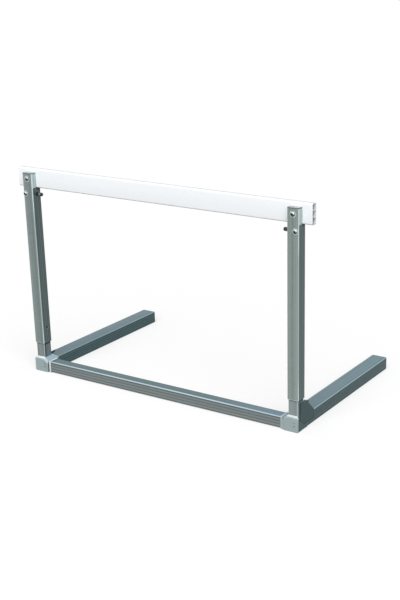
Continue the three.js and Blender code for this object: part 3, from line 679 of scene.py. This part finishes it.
# %% [markdown]
# ## The bands of the tubes
#
# The right-hand upright and post get painted light, so their fronts are lighter than the
# left ones. The tongue's sides carry a pale painted reflection, and the cut end of the tube
# is a light line. Below that end the post is dark with painted shade, and beside its front
# corner runs a dark strip. The beam has a line of painted shade under the painted highlight
# on its front edge, and its top turns bluer to the right.

# %% Bands of the tubes
RIGHT_HALF = {"start": 0.2, "end": 2.0, "soft": 0.2, "share": 1.0}
ABOVE_ALL = 1.0

# Painted light on the right-hand upright's front.
upright_painted_light = Band("front", "X", colour=(0.23, 0.28, 0.264), **RIGHT_HALF)
# Painted reflection of the white bar on the tongue's sides.
tongue_painted_reflection = Band(
    "side", "Z", start=tongue_start, end=ABOVE_ALL, soft=0.002,
    colour=(0.5, 0.6, 0.6), share=1.0,
)
cut_end = Band(
    "front", "Z", start=tube_end - 0.001, end=tube_end + 0.0025, soft=0.0008,
    colour=upright_tones["corner"], share=0.8,
)
# Painted light on the right-hand post's front.
post_painted_light = Band("front", "X", colour=(0.248, 0.288, 0.29), **RIGHT_HALF)
dark_strip = Band(
    "side", "Y", start=upright_front + 0.002, end=upright_front + 0.014, soft=0.004,
    colour=(0.055, 0.08, 0.09), share=0.85,
)
side_shade = Band(
    "side", "Z", start=tube_end - 0.009, end=tube_end, soft=0.003, colour=PAINTED_SHADE, share=0.9
)
front_shade = Band(
    "front", "Z", start=tube_end - 0.007, end=tube_end, soft=0.003, colour=PAINTED_SHADE, share=0.35
)
# Painted shade under the beam's front edge.
beam_painted_shade = Band(
    "front", "Z", start=beam_high.z - 0.0075, end=beam_high.z - 0.002, soft=0.002,
    colour=(0.13, 0.18, 0.2), share=0.7,
)
# Painted highlight along the beam's top front edge.
beam_painted_highlight = Band(
    "top", "Y", start=beam_low.y - 0.002, end=beam_low.y + 0.0065, soft=0.0015,
    colour=(0.36, 0.47, 0.52), share=1.0,
)
bluer_top = Band(
    "top", "X", start=0.1, end=2.0, soft=0.6, colour=(0.15, 0.23, 0.3), share=0.9
)
upright_bands = [upright_painted_light, tongue_painted_reflection, cut_end]
post_bands = [post_painted_light, dark_strip, side_shade, front_shade]
beam_bands = [beam_painted_shade, beam_painted_highlight, bluer_top]
print("bands:", len(upright_bands), len(post_bands), len(beam_bands))

# %% [markdown]
# ## The four tubes
#
# The grain runs along each tube, so its lines per metre are high across and low along it.
# The pitches of beam and leg are those of the grooves in the CAD. The leg's valleys lie on
# its grooves, and the beam's a little below theirs, by 0.9 mm. The post catches shade from
# farther away, because the upright's tube stands over it.

# %% Materials: extruded aluminium
LINES_ACROSS, LINES_ALONG = 260, 1.2
UPRIGHT_PITCH, LEG_PITCH, BEAM_PITCH = 0.0095, 0.0079, 0.0106
BEAM_FIRST_VALLEY = beam_low.z + 0.0037
POST_SHADE_REACH = 0.012

grain_upwards = (LINES_ACROSS, LINES_ACROSS, LINES_ALONG)
grain_backwards = (LINES_ACROSS, LINES_ALONG, LINES_ACROSS)
grain_sideways = (LINES_ALONG, LINES_ACROSS, LINES_ACROSS)
upright_ribs = Ribs("Y", UPRIGHT_PITCH, upright_front, "side", depth=0.3, relief=0.5)
post_ribs = Ribs("Y", UPRIGHT_PITCH, upright_front, "side", depth=0.1, relief=0.2)
leg_ribs = Ribs("Z", LEG_PITCH, leg_height / 2, "side", depth=0.6, relief=0.6)
beam_ribs = Ribs("Z", BEAM_PITCH, BEAM_FIRST_VALLEY, "front", depth=0.3, relief=0.05)

materials = {
    "upright": extruded_aluminium(
        "satin_upright", upright_tones, grain_upwards, upright_ribs, 1.0,
        bands=upright_bands, screw=screw_middle,
    ),
    "post": extruded_aluminium(
        "satin_post", post_tones, grain_upwards, post_ribs, 2.0, POST_SHADE_REACH,
        bands=post_bands,
    ),
    "leg": extruded_aluminium("satin_leg", leg_tones, grain_backwards, leg_ribs, 3.0),
    "beam": extruded_aluminium(
        "satin_beam", beam_tones, grain_sideways, beam_ribs, 4.0, bands=beam_bands
    ),
}
print("extruded:", sorted(materials))

# %% [markdown]
# ## Cast aluminium: tones by place
#
# The corner castings and their front covers are blasted: matte and a little lighter than
# the tubes, with an uneven grain. The sides get painted shade and the tops painted light,
# and the top tone starts behind the bevel's lower part. A pale strip of painted light lies
# at the post's foot, and the collar's lip has a painted highlight, strong on the left and
# only faint on the right.

# %% Recipe step: tones of a casting
collar_middle = beam_high.x - 0.0025
post_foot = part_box("right_inner_post")[0].x
BEVEL_ENDS = (-0.003, -0.001)
FOOT_STRIP = (-0.0035, 0.0045, 0.0015)
FOOT_FADE = 0.004
GRAIN_RANGE = (0.3, 0.7)
GRAIN_TONES = (0.86, 1.12)
LIP_WIDTH = (0.003, 0.0048)
LIP_SIDES = (-0.01, 0.01, 1.0, 0.25)


def casting_tones_by_place(tree, tones, skin, across, outwards, backwards):
    faces = use(tree, "faces")
    # Painted shade on the sides, painted light on the tops behind the bevel.
    base = blend_colours(tree, faces["Side"], tones["front"], tones["side"])
    upper = product(tree, faces["Top"], remap(tree, backwards, *BEVEL_ENDS))
    base = blend_colours(tree, upper, base, tones["top"])
    # Painted light in a strip at the post's foot.
    foot = product(tree, between(tree, backwards, *FOOT_STRIP), faces["Top"])
    foot = product(tree, foot, remap(tree, outwards, post_foot - FOOT_FADE, post_foot))
    base = blend_colours(tree, foot, base, tones["foot"])
    base = shade_colour(tree, base, remap(tree, skin["Grain"], *GRAIN_RANGE, *GRAIN_TONES))
    # Painted highlight on the collar's lip, strong on the left and faint on the right.
    off_collar = maths(tree, "ABSOLUTE", maths(tree, "SUBTRACT", outwards, collar_middle))
    on_lip = remap(tree, off_collar, *LIP_WIDTH, 1.0, 0.0)
    lip = product(tree, on_lip, remap(tree, across, *LIP_SIDES))
    return blend_colours(tree, lip, base, tones["collar"])


print(f"collar's middle at {collar_middle:.4f} m, post's foot at {post_foot:.4f} m")

# %% [markdown]
# ## Cast aluminium: worn and highlit corners, and the shaded gusset plate
#
# Corners of the blasted metal get bright lines, partly wear and partly painted highlight.
# The gusset plate beside the leg gets painted shade, is hardly worn, and has an outline of
# painted shadow that starts a little behind the front. It is picked by place: the outermost
# 2.2 mm of the casting, and all that stands above the casting's top.

# %% Recipe step: wear, painted highlight and painted shade of a casting
CASTING_TOP = 0.056
ABOVE_TOP = (CASTING_TOP + 0.0008, CASTING_TOP + 0.0012)
PLATE_FADE = 0.0004
CAST_EDGE = {"Width": 0.003, "Breaks Per Metre": 30.0}
CAST_WEAR_AND_HIGHLIGHT, PLATE_WEAR_AND_HIGHLIGHT = 0.85, 0.12
WORN_AND_HIGHLIT_EDGE = (0.75, 0.81, 0.82)
OUTLINE_SHARE = 0.8
OUTLINE_START = (0.012, 0.02)


def plate_mask(tree, outwards, plate_start):
    above = remap(tree, place_along(tree, "Z"), *ABOVE_TOP)
    outside = remap(tree, outwards, plate_start, plate_start + PLATE_FADE)
    return maths(tree, "MAXIMUM", outside, above)


def wear_highlight_and_shade_casting(tree, base, tones, plate, backwards):
    marked = use(tree, "edge_lines", CAST_EDGE)
    wear_share = remap(tree, plate, 0.0, 1.0, CAST_WEAR_AND_HIGHLIGHT, PLATE_WEAR_AND_HIGHLIGHT)
    # Bright edge lines, partly wear and partly painted highlight.
    base = blend_colours(tree, product(tree, marked["Mask"], wear_share), base, WORN_AND_HIGHLIT_EDGE)
    # Painted shade on the gusset plate.
    base = blend_colours(tree, plate, base, tones["plate"])
    # A painted shadow line along the plate's edges.
    off_front = remap(tree, backwards, *OUTLINE_START)
    outline = product(tree, marked["Edge"], plate, OUTLINE_SHARE, off_front)
    return blend_colours(tree, outline, base, PAINTED_SHADE)


print("wear covers", CAST_WEAR_AND_HIGHLIGHT, "of a blasted corner and", PLATE_WEAR_AND_HIGHLIGHT, "of the plate's")

# %% [markdown]
# ## Cast aluminium: the whole recipe
#
# Pits are darker than the skin around them, and painted shade sits deep in the collar and
# sockets.
# The plate is smoother than the blasted metal and isn't given its metallic share, so that
# it stays dark in white surroundings.

# %% Recipe: cast aluminium
CAST_GRAIN = {"Grains Per Metre": 620.0}
CAST_DUST = {"Reach": 0.2}
CAST_OCCLUSION_SHADE = {"Distance": 0.03, "Closed": 0.08, "Open": 0.35}
CAST_OCCLUSION_SHADE_SHARE = 0.7
PIT_SHARE, PIT_COLOUR = 0.35, (0.05, 0.06, 0.06)
CAST_ROUGHNESS = (0.45, 0.62)
PLATE_SMOOTHER = 0.18
SKIN_HEIGHT = 0.00025
SKIN_STRENGTH = (0.7, 0.15)
CAST_METALLIC = (0.2, 0.0)


def cast_aluminium(name, tones, plate_start):
    material, tree, surface = new_material(name)
    across = place_along(tree, "X")
    outwards = maths(tree, "ABSOLUTE", across)
    backwards = maths(tree, "SUBTRACT", place_along(tree, "Y"), upright_front)
    skin = use(tree, "cast_skin", CAST_GRAIN)
    base = casting_tones_by_place(tree, tones, skin, across, outwards, backwards)
    plate = plate_mask(tree, outwards, plate_start)
    base = wear_highlight_and_shade_casting(tree, base, tones, plate, backwards)

    dust = use(tree, "settled_dust", CAST_DUST)["Mask"]
    occlusion_shade = use(tree, "occlusion_shade", CAST_OCCLUSION_SHADE)["Mask"]
    base = blend_colours(tree, product(tree, skin["Pits"], PIT_SHARE), base, PIT_COLOUR)
    base = blend_colours(tree, product(tree, dust, DUST_SHARE), base, DUST)
    # Painted shade in the collar, the sockets and other closed-in places.
    base = blend_colours(tree, product(tree, occlusion_shade, CAST_OCCLUSION_SHADE_SHARE), base, PAINTED_SHADE)

    matte = remap(tree, skin["Grain"], *GRAIN_RANGE, *CAST_ROUGHNESS)
    rough = maths(tree, "SUBTRACT", matte, product(tree, plate, PLATE_SMOOTHER))
    rise = maths(tree, "SUBTRACT", skin["Grain"], skin["Pits"])
    normal = bump(tree, rise, SKIN_HEIGHT, remap(tree, plate, 0.0, 1.0, *SKIN_STRENGTH))
    metallic = remap(tree, plate, 0.0, 1.0, *CAST_METALLIC)
    connect(
        tree, surface, Base_Color=base, Roughness=rough, Metallic=metallic, Normal=normal,
        Specular_IOR_Level=0.2,
    )
    return material


print("cast roughness", CAST_ROUGHNESS[0], "to", CAST_ROUGHNESS[1])

# %% [markdown]
# ## Castings and covers
#
# Both take the same tones, except that the cover's narrow sides get lighter painted shade.
# The cover has no gusset plate, so its plate starts far outside the hurdle, where nothing is.

# %% Materials: cast aluminium
PLATE_THICKNESS = 0.0022
NO_PLATE = 2.0

# Side and plate tones are painted shade, top and foot tones painted light, the collar tone a
# painted highlight.
casting_tones = {
    "front": (0.33, 0.4, 0.41),
    "side": (0.15, 0.2, 0.21),
    "top": (0.3, 0.43, 0.49),
    "plate": (0.023, 0.06, 0.066),
    "collar": (0.66, 0.72, 0.73),
    "foot": (0.78, 0.83, 0.84),
}
cover_tones = {**casting_tones, "side": (0.3, 0.37, 0.38)}
outer_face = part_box("right_corner_casting")[1].x
plate_inner = outer_face - PLATE_THICKNESS
materials["casting"] = cast_aluminium("cast_corner", casting_tones, plate_inner)
materials["cover"] = cast_aluminium("cast_cover", cover_tones, NO_PLATE)
print(f"smooth plate from {plate_inner:.4f} m outwards")

# %% [markdown]
# ## White bar
#
# The crossbar is a white extruded section. It is smooth with a faint satin sheen, slightly
# bluish, and after a season it has a few grey scuffs along its edges. Its lower edge and
# the rear of its top get painted shade, which draws its outline on a white background. The
# three chambers get painted shade from a few millimetres inside its ends.

# %% Material: white bar
WHITES = ((0.9, 0.94, 0.975), (0.94, 0.965, 0.985))
MARK_COLOUR = (0.66, 0.68, 0.69)
REAR_EDGE, REAR_COLOUR = (0.018, 0.01), (0.62, 0.64, 0.65)
LOWER_EDGE, LOWER_COLOUR = (0.002, 0.0035), (0.56, 0.58, 0.57)
CHAMBER = {"Distance": 0.04, "Closed": 0.34, "Open": 0.46}
CHAMBER_DEPTH, CHAMBER_SHARE = (0.0085, 0.0055), 0.4
CHAMBER_COLOUR = (0.06, 0.065, 0.07)
BAR_EDGE = {"Width": 0.001, "Breaks Per Metre": 25.0}
BAR_SCUFFS = {"Scratches Per Metre": 18.0, "Amount": 0.25}
BAR_WEAR = 0.2
BAR_RANGE, BAR_ROUGHNESS = (0.2, 0.8), (0.32, 0.42)
BAR_LINE_HEIGHT, BAR_LINE_STRENGTH = 0.00003, 0.4

material, tree, surface = new_material("white_bar")
grain = use(tree, "drawn_grain", {"Lines Per Metre": (1.0, 180, 180), "Seed": 5.0})
base = blend_colours(tree, grain["Streaks"], *WHITES)
scratched = use(tree, "scuffs", BAR_SCUFFS)["Mask"]
worn = use(tree, "edge_lines", BAR_EDGE)["Mask"]
marks = maths(tree, "MAXIMUM", scratched, product(tree, worn, BAR_WEAR))
base = blend_colours(tree, marks, base, MARK_COLOUR)

bar_low, bar_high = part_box("crossbar")
# Painted shade along the rear of the top.
rear_ends = (bar_high.y - reach for reach in REAR_EDGE)
rear = remap(tree, place_along(tree, "Y"), *rear_ends)
rear_edge = product(tree, rear, use(tree, "faces")["Top"])
base = blend_colours(tree, rear_edge, base, REAR_COLOUR)
# Painted shade along the lower edge.
lower_ends = (bar_low.z + reach for reach in LOWER_EDGE)
lower_edge = remap(tree, place_along(tree, "Z"), *lower_ends, 1.0, 0.0)
base = blend_colours(tree, lower_edge, base, LOWER_COLOUR)
# Painted shade deep in the chambers.
inside = use(tree, "occlusion_shade", CHAMBER)["Mask"]
depth_ends = (bar_high.x - reach for reach in CHAMBER_DEPTH)
outwards = maths(tree, "ABSOLUTE", place_along(tree, "X"))
deep = product(tree, inside, remap(tree, outwards, *depth_ends, 1.0, 0.0))
base = blend_colours(tree, product(tree, deep, CHAMBER_SHARE), base, CHAMBER_COLOUR)

rough = remap(tree, grain["Streaks"], *BAR_RANGE, *BAR_ROUGHNESS)
normal = bump(tree, grain["Fine Lines"], BAR_LINE_HEIGHT, BAR_LINE_STRENGTH)
connect(tree, surface, Base_Color=base, Roughness=rough, Normal=normal)
materials["bar"] = material
print("white bar roughness", BAR_ROUGHNESS[0], "to", BAR_ROUGHNESS[1])

# %% [markdown]
# ## Moulded skin
#
# Pads, caps, the latch blocks and the knobs are injection moulded. The mould was spark
# eroded, which leaves a fine even texture of dots, and the plastic's tone is a little
# cloudy.

# %% Effect: moulded skin
CLOUDS_PER_METRE = 90.0

tree, given, wanted = effect(
    "moulded_skin",
    [("Dots Per Metre", "NodeSocketFloat", 1600.0)],
    [("Texture", "NodeSocketFloat"), ("Cloud", "NodeSocketFloat")],
)
place = object_place(tree)
dots = add(
    tree, "ShaderNodeTexVoronoi", {"Vector": place, "Scale": given[0]}, feature="SMOOTH_F1"
)
tree.links.new(dots.outputs["Distance"], wanted[0])
tree.links.new(noise(tree, place, CLOUDS_PER_METRE, detail=3.0), wanted[1])
print("moulded_skin:", [s.name for s in wanted if s.name])

# %% [markdown]
# ## Moulded plastic
#
# Plastic greys where it rubs and takes a little dust. A piece may have painted shade on its
# sides, below the tone of its top, or painted shade on the right-hand half of the hurdle.

# %% Recipe: moulded plastic
CLOUD_TONES = (0.8, 1.2)
CLOUD_RANGE = (0.3, 0.7)
PLASTIC_EDGE = {"Width": 0.0006, "Breaks Per Metre": 120.0}
PLASTIC_DUST = {"Reach": 0.5}
PLASTIC_WEAR, PLASTIC_DUST_SHARE = 0.6, 0.1
SMOOTHER, ROUGHER = 0.06, 0.08
DOT_HEIGHT, DOT_STRENGTH = 0.00008, 0.45
LEFT_TO_RIGHT = (-0.1, 0.1)


def cloudy(colour, tones):
    return [tuple(tone * part for part in colour) for tone in tones]


def moulded_plastic(name, colour, roughness, marked, dots=1600.0, sides=None, right=None):
    material, tree, surface = new_material(name)
    skin = use(tree, "moulded_skin", {"Dots Per Metre": dots})
    base = blend_colours(tree, skin["Cloud"], *cloudy(colour, CLOUD_TONES))
    # Painted shade on the sides.
    if sides:
        base = blend_colours(tree, use(tree, "faces")["Top"], sides, base)
    # Painted shade on the right-hand half.
    if right:
        rightwards = remap(tree, place_along(tree, "X"), *LEFT_TO_RIGHT)
        base = blend_colours(tree, rightwards, base, right)
    worn = use(tree, "edge_lines", PLASTIC_EDGE)["Mask"]
    dust = use(tree, "settled_dust", PLASTIC_DUST)["Mask"]
    base = blend_colours(tree, product(tree, worn, PLASTIC_WEAR), base, marked)
    base = blend_colours(tree, product(tree, dust, PLASTIC_DUST_SHARE), base, DUST)
    roughnesses = (roughness - SMOOTHER, roughness + ROUGHER)
    rough = remap(tree, skin["Cloud"], *CLOUD_RANGE, *roughnesses)
    normal = bump(tree, skin["Texture"], DOT_HEIGHT, DOT_STRENGTH)
    connect(tree, surface, Base_Color=base, Roughness=rough, Normal=normal)
    return material


print("plastic is", CLOUD_TONES[0], "to", CLOUD_TONES[1], "times its colour")

# %% [markdown]
# ## Seven plastic finishes
#
# Most pieces are black. The tongue's cap is light on top and has painted shade round its
# narrow sides, which shows as a fine dark rim. The knob's sleeve is grey-green on the left and
# has far darker painted shade on the right, as the photo has it, and its dots are finer.

# %% Materials: moulded plastic
black = (0.018, 0.019, 0.021)
deep_black = (0.008, 0.009, 0.01)
rubbed_black = (0.09, 0.095, 0.1)
plastics = {
    "leg_cap": moulded_plastic("black_leg_cap", (0.025, 0.027, 0.029), 0.5, rubbed_black),
    "pad": moulded_plastic("black_pad", deep_black, 0.55, rubbed_black),
    "guide": moulded_plastic("black_guide", black, 0.45, rubbed_black),
    "hanger": moulded_plastic("black_hanger", black, 0.5, rubbed_black),
    # Painted shade on the right-hand knob's sleeve.
    "knob": moulded_plastic(
        "knob_sleeve", (0.14, 0.175, 0.17), 0.4, (0.2, 0.24, 0.23), 2200.0,
        right=(0.02, 0.026, 0.025),
    ),
    "knob_cap": moulded_plastic("knob_cap", deep_black, 0.35, rubbed_black),
    # Painted shade on the cap's narrow sides.
    "tongue_cap": moulded_plastic(
        "grey_tongue_cap", (0.4, 0.43, 0.45), 0.45, (0.16, 0.17, 0.19),
        sides=(0.1, 0.11, 0.12),
    ),
}
materials.update(plastics)
print("plastic finishes:", len(plastics))

# %% [markdown]
# ## Zinc bloom
#
# Zinc plating is never one even tone: it clouds in small spots, and its surface is finely
# grained. Both come from noise, the grain six times finer than the spots.

# %% Effect: zinc bloom
GRAINS_PER_SPOT = 6.0

tree, given, wanted = effect(
    "zinc_bloom",
    [("Spots Per Metre", "NodeSocketFloat", 400.0)],
    [("Bloom", "NodeSocketFloat"), ("Fine", "NodeSocketFloat")],
)
place = object_place(tree)
grain_scale = product(tree, given[0], GRAINS_PER_SPOT)
tree.links.new(noise(tree, place, given[0], detail=5.0, roughness=0.7), wanted[0])
tree.links.new(noise(tree, place, grain_scale), wanted[1])
print("zinc_bloom:", [s.name for s in wanted if s.name])

# %% [markdown]
# ## Steel
#
# Screws, nuts and washers are bright zinc, the small screws of the covers have gone dull,
# and the latch parts are plain ground steel. They are a little more than half metallic, so
# that they keep a tone of their own in white surroundings. Painted shade fills the recesses,
# less so on the open washer. The undersides of the round screw heads get painted shade,
# which gives the photo's hard split between a white and a black half.

# %% Materials: steel
ZINC_TONES = (0.7, 1.15)
ZINC_RANGE = (0.3, 0.7)
STEEL_EDGE = {"Width": 0.0004, "Breaks Per Metre": 200.0}
STEEL_WEAR, BARE_STEEL = 0.5, (0.8, 0.82, 0.84)
STEEL_OCCLUSION_SHADE = {"Distance": 0.005, "Closed": 0.7, "Open": 0.97}
LIT_SIDE, LIT_RANGE = (0.4, 0.0, 0.9), (0.0, 0.35)
BRIGHTER, DULLER = 0.06, 0.12
ZINC_HEIGHT, ZINC_STRENGTH = 0.00003, 0.4


def steel(name, colour, roughness, spots=400.0, underside=0.0, recess_shade=1.0):
    material, tree, surface = new_material(name)
    zinc = use(tree, "zinc_bloom", {"Spots Per Metre": spots})
    base = blend_colours(tree, zinc["Bloom"], *cloudy(colour, ZINC_TONES))
    worn = use(tree, "edge_lines", STEEL_EDGE)["Mask"]
    base = blend_colours(tree, product(tree, worn, STEEL_WEAR), base, BARE_STEEL)
    # Painted shade in recesses such as the screw sockets.
    occlusion_shade = use(tree, "occlusion_shade", STEEL_OCCLUSION_SHADE)["Mask"]
    # Painted shade on the side of a round head turned away from the light.
    normal = add(tree, "ShaderNodeNewGeometry").outputs["Normal"]
    upper = add(
        tree, "ShaderNodeVectorMath", {0: normal, 1: LIT_SIDE}, operation="DOT_PRODUCT"
    )
    turned_away = remap(tree, upper.outputs["Value"], *LIT_RANGE, 1.0, 0.0)
    below = product(tree, turned_away, underside)
    dark = maths(tree, "MAXIMUM", product(tree, occlusion_shade, recess_shade), below)
    base = blend_colours(tree, dark, base, PAINTED_SHADE)
    roughnesses = (roughness - BRIGHTER, roughness + DULLER)
    rough = remap(tree, zinc["Bloom"], *ZINC_RANGE, *roughnesses)
    normal = bump(tree, zinc["Fine"], ZINC_HEIGHT, ZINC_STRENGTH)
    connect(tree, surface, Base_Color=base, Roughness=rough, Metallic=0.6, Normal=normal)
    return material


materials["button_screw"] = steel("bright_screw", (0.62, 0.66, 0.68), 0.24, underside=0.9)
materials["nut"] = steel("bright_nut", (0.58, 0.61, 0.63), 0.28)
materials["washer"] = steel("bright_washer", (0.74, 0.82, 0.83), 0.3, recess_shade=0.2)
materials["cover_screw"] = steel("dull_screw", (0.22, 0.25, 0.26), 0.45)
materials["weight"] = steel("weight_bar", (0.12, 0.125, 0.13), 0.55, 60.0)
materials["rod"] = steel("latch_rod", (0.45, 0.46, 0.47), 0.35, 150.0)
materials["bolt"] = steel("latch_bolt", (0.5, 0.51, 0.52), 0.25)
materials["stem"] = steel("knob_stem", (0.5, 0.51, 0.52), 0.25)
materials["bush"] = steel("knob_bush", (0.05, 0.055, 0.06), 0.4)
print("finishes in all:", len(materials))

# %% [markdown]
# ## Dressing the pieces
#
# The record of the part says which finish each piece takes. The CAD edges are perfectly
# sharp, which no real edge is: a small bevel catches a line of light and makes the size
# believable. The meshes arrive as loose triangles, so a node modifier first welds them and
# turns on smooth shading; the bevel then only touches edges over 30 degrees.

# %% Assign finishes and soften edges
EDGE_WIDTH = {
    "casting": 0.0007,
    "cover": 0.0006,
    "pad": 0.0004,
    "leg_cap": 0.0006,
    "knob": 0.0003,
    "knob_cap": 0.0003,
    "button_screw": 0.0002,
    "cover_screw": 0.0001,
}
USUAL_EDGE = 0.00035
EDGE_SEGMENTS = 2
SHARP_ANGLE = 30
WELD_DISTANCE = 0.00001

weld = bpy.data.node_groups.new("weld_and_smooth", "GeometryNodeTree")
for direction in ("INPUT", "OUTPUT"):
    weld.interface.new_socket("Geometry", in_out=direction, socket_type="NodeSocketGeometry")
mesh_in = weld.nodes.new("NodeGroupInput").outputs[0]
merge = {"Geometry": mesh_in, "Distance": WELD_DISTANCE}
merged = add(weld, "GeometryNodeMergeByDistance", merge).outputs[0]
drop = {"Geometry": merged, "Name": "custom_normal"}
plain = add(weld, "GeometryNodeRemoveAttribute", drop).outputs[0]
shade = {"Geometry": plain, "Shade Smooth": True}
smooth = add(weld, "GeometryNodeSetShadeSmooth", shade).outputs[0]
weld.links.new(smooth, weld.nodes.new("NodeGroupOutput").inputs[0])

slot_of = {part["node"]: part["material_slot"] for part in frame["record"]["subparts"]}
for name, node in frame["nodes"].items():
    slot = slot_of[name]
    node.material_slots[0].material = materials[slot]
    node.modifiers.new("weld", "NODES").node_group = weld
    bevel = node.modifiers.new("soft_edges", "BEVEL")
    bevel.width = EDGE_WIDTH.get(slot, USUAL_EDGE)
    bevel.segments = EDGE_SEGMENTS
    bevel.limit_method = "ANGLE"
    bevel.angle_limit = math.radians(SHARP_ANGLE)
    bevel.harden_normals = True
print("dressed:", len(frame["nodes"]), "pieces with", len(set(slot_of.values())), "finishes")

# %% [markdown]
# ## Floor and sky
#
# The photo is a cut-out on white. The floor and the sky show white to the camera and in
# reflections, and stay modest to everything else, so that the white doesn't flood the
# hurdle: dark sides are what gives the tubes their shape.

# %% Floor and sky
SKY_STRENGTH = 0.36
FLOOR_SIZE = 60
FLOOR_GREY = 0.36
FLOOR_SHOWN_GREY, FLOOR_SHOWN_GLOW = 0.48, 0.5


def seen_directly(tree):
    path = add(tree, "ShaderNodeLightPath").outputs
    shown = maths(tree, "MAXIMUM", path["Is Camera Ray"], path["Is Glossy Ray"])
    return maths(tree, "MAXIMUM", shown, path["Is Transmission Ray"])


def grey(level):
    return (level, level, level)


world = bpy.data.worlds.new("white_surroundings")
bpy.context.scene.world = world
world.use_nodes = True
tree = world.node_tree
sky = tree.nodes["Background"]
sky.inputs["Color"].default_value = (1, 1, 1, 1)
sky_light = remap(tree, seen_directly(tree), 0.0, 1.0, SKY_STRENGTH, 1.0)
feed(tree, sky.inputs["Strength"], sky_light)

half = FLOOR_SIZE / 2
floor_mesh = bpy.data.meshes.new("floor")
corners = [(-half, -half, 0), (half, -half, 0), (half, half, 0), (-half, half, 0)]
floor_mesh.from_pydata(corners, [], [(0, 1, 2, 3)])
floor = bpy.data.objects.new("floor", floor_mesh)
bpy.context.collection.objects.link(floor)
floor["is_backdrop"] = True
material, tree, surface = new_material("pale_floor")
shown = seen_directly(tree)
colour = blend_colours(tree, shown, grey(FLOOR_GREY), grey(FLOOR_SHOWN_GREY))
glow = blend_colours(tree, shown, grey(0.0), grey(FLOOR_SHOWN_GLOW))
connect(tree, surface, Base_Color=colour, Roughness=0.9, Specular_IOR_Level=0.0)
connect(tree, surface, Emission_Color=glow, Emission_Strength=1.0)
floor_mesh.materials.append(material)
print(f"floor {FLOOR_SIZE} m wide, sky {SKY_STRENGTH} to all but camera and reflections")

# %% [markdown]
# ## One soft sun
#
# One very large and soft sun stands high in front and a little to the right, on the
# camera's side but higher up. It lights the tops most, the fronts well and the right-hand
# sides least, which tells the faces of a tube apart. The view transform is the plain one,
# so that a colour renders about as written.

# %% Sun
SUN_STRENGTH = 3.0
SUN_FROM = (0.32, -0.60, 0.73)
SUN_ANGLE = 65

sun = bpy.data.objects.new("sun", bpy.data.lights.new("sun", "SUN"))
bpy.context.collection.objects.link(sun)
sun.data.energy = SUN_STRENGTH
sun.data.angle = math.radians(SUN_ANGLE)
sun.rotation_euler = Vector(SUN_FROM).to_track_quat("Z", "Y").to_euler()
bpy.context.scene.view_settings.view_transform = "Standard"
level = SKY_STRENGTH + SUN_STRENGTH / math.pi * Vector(SUN_FROM).normalized().z
print(f"light level on the floor {level:.2f}")

# %% [markdown]
# ## The last check
#
# The dressed hurdle has to be as large as the CAD one. The size at loading is printed, and
# at the end how far each corner of the bounds has moved.

# %% Compare the size
size_at_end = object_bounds()
for corner, before, after in zip(("low", "high"), size_at_load, size_at_end):
    change = [round(1000 * (b - a), 3) for a, b in zip(before, after)]
    print(corner, "corner moved by mm:", change)
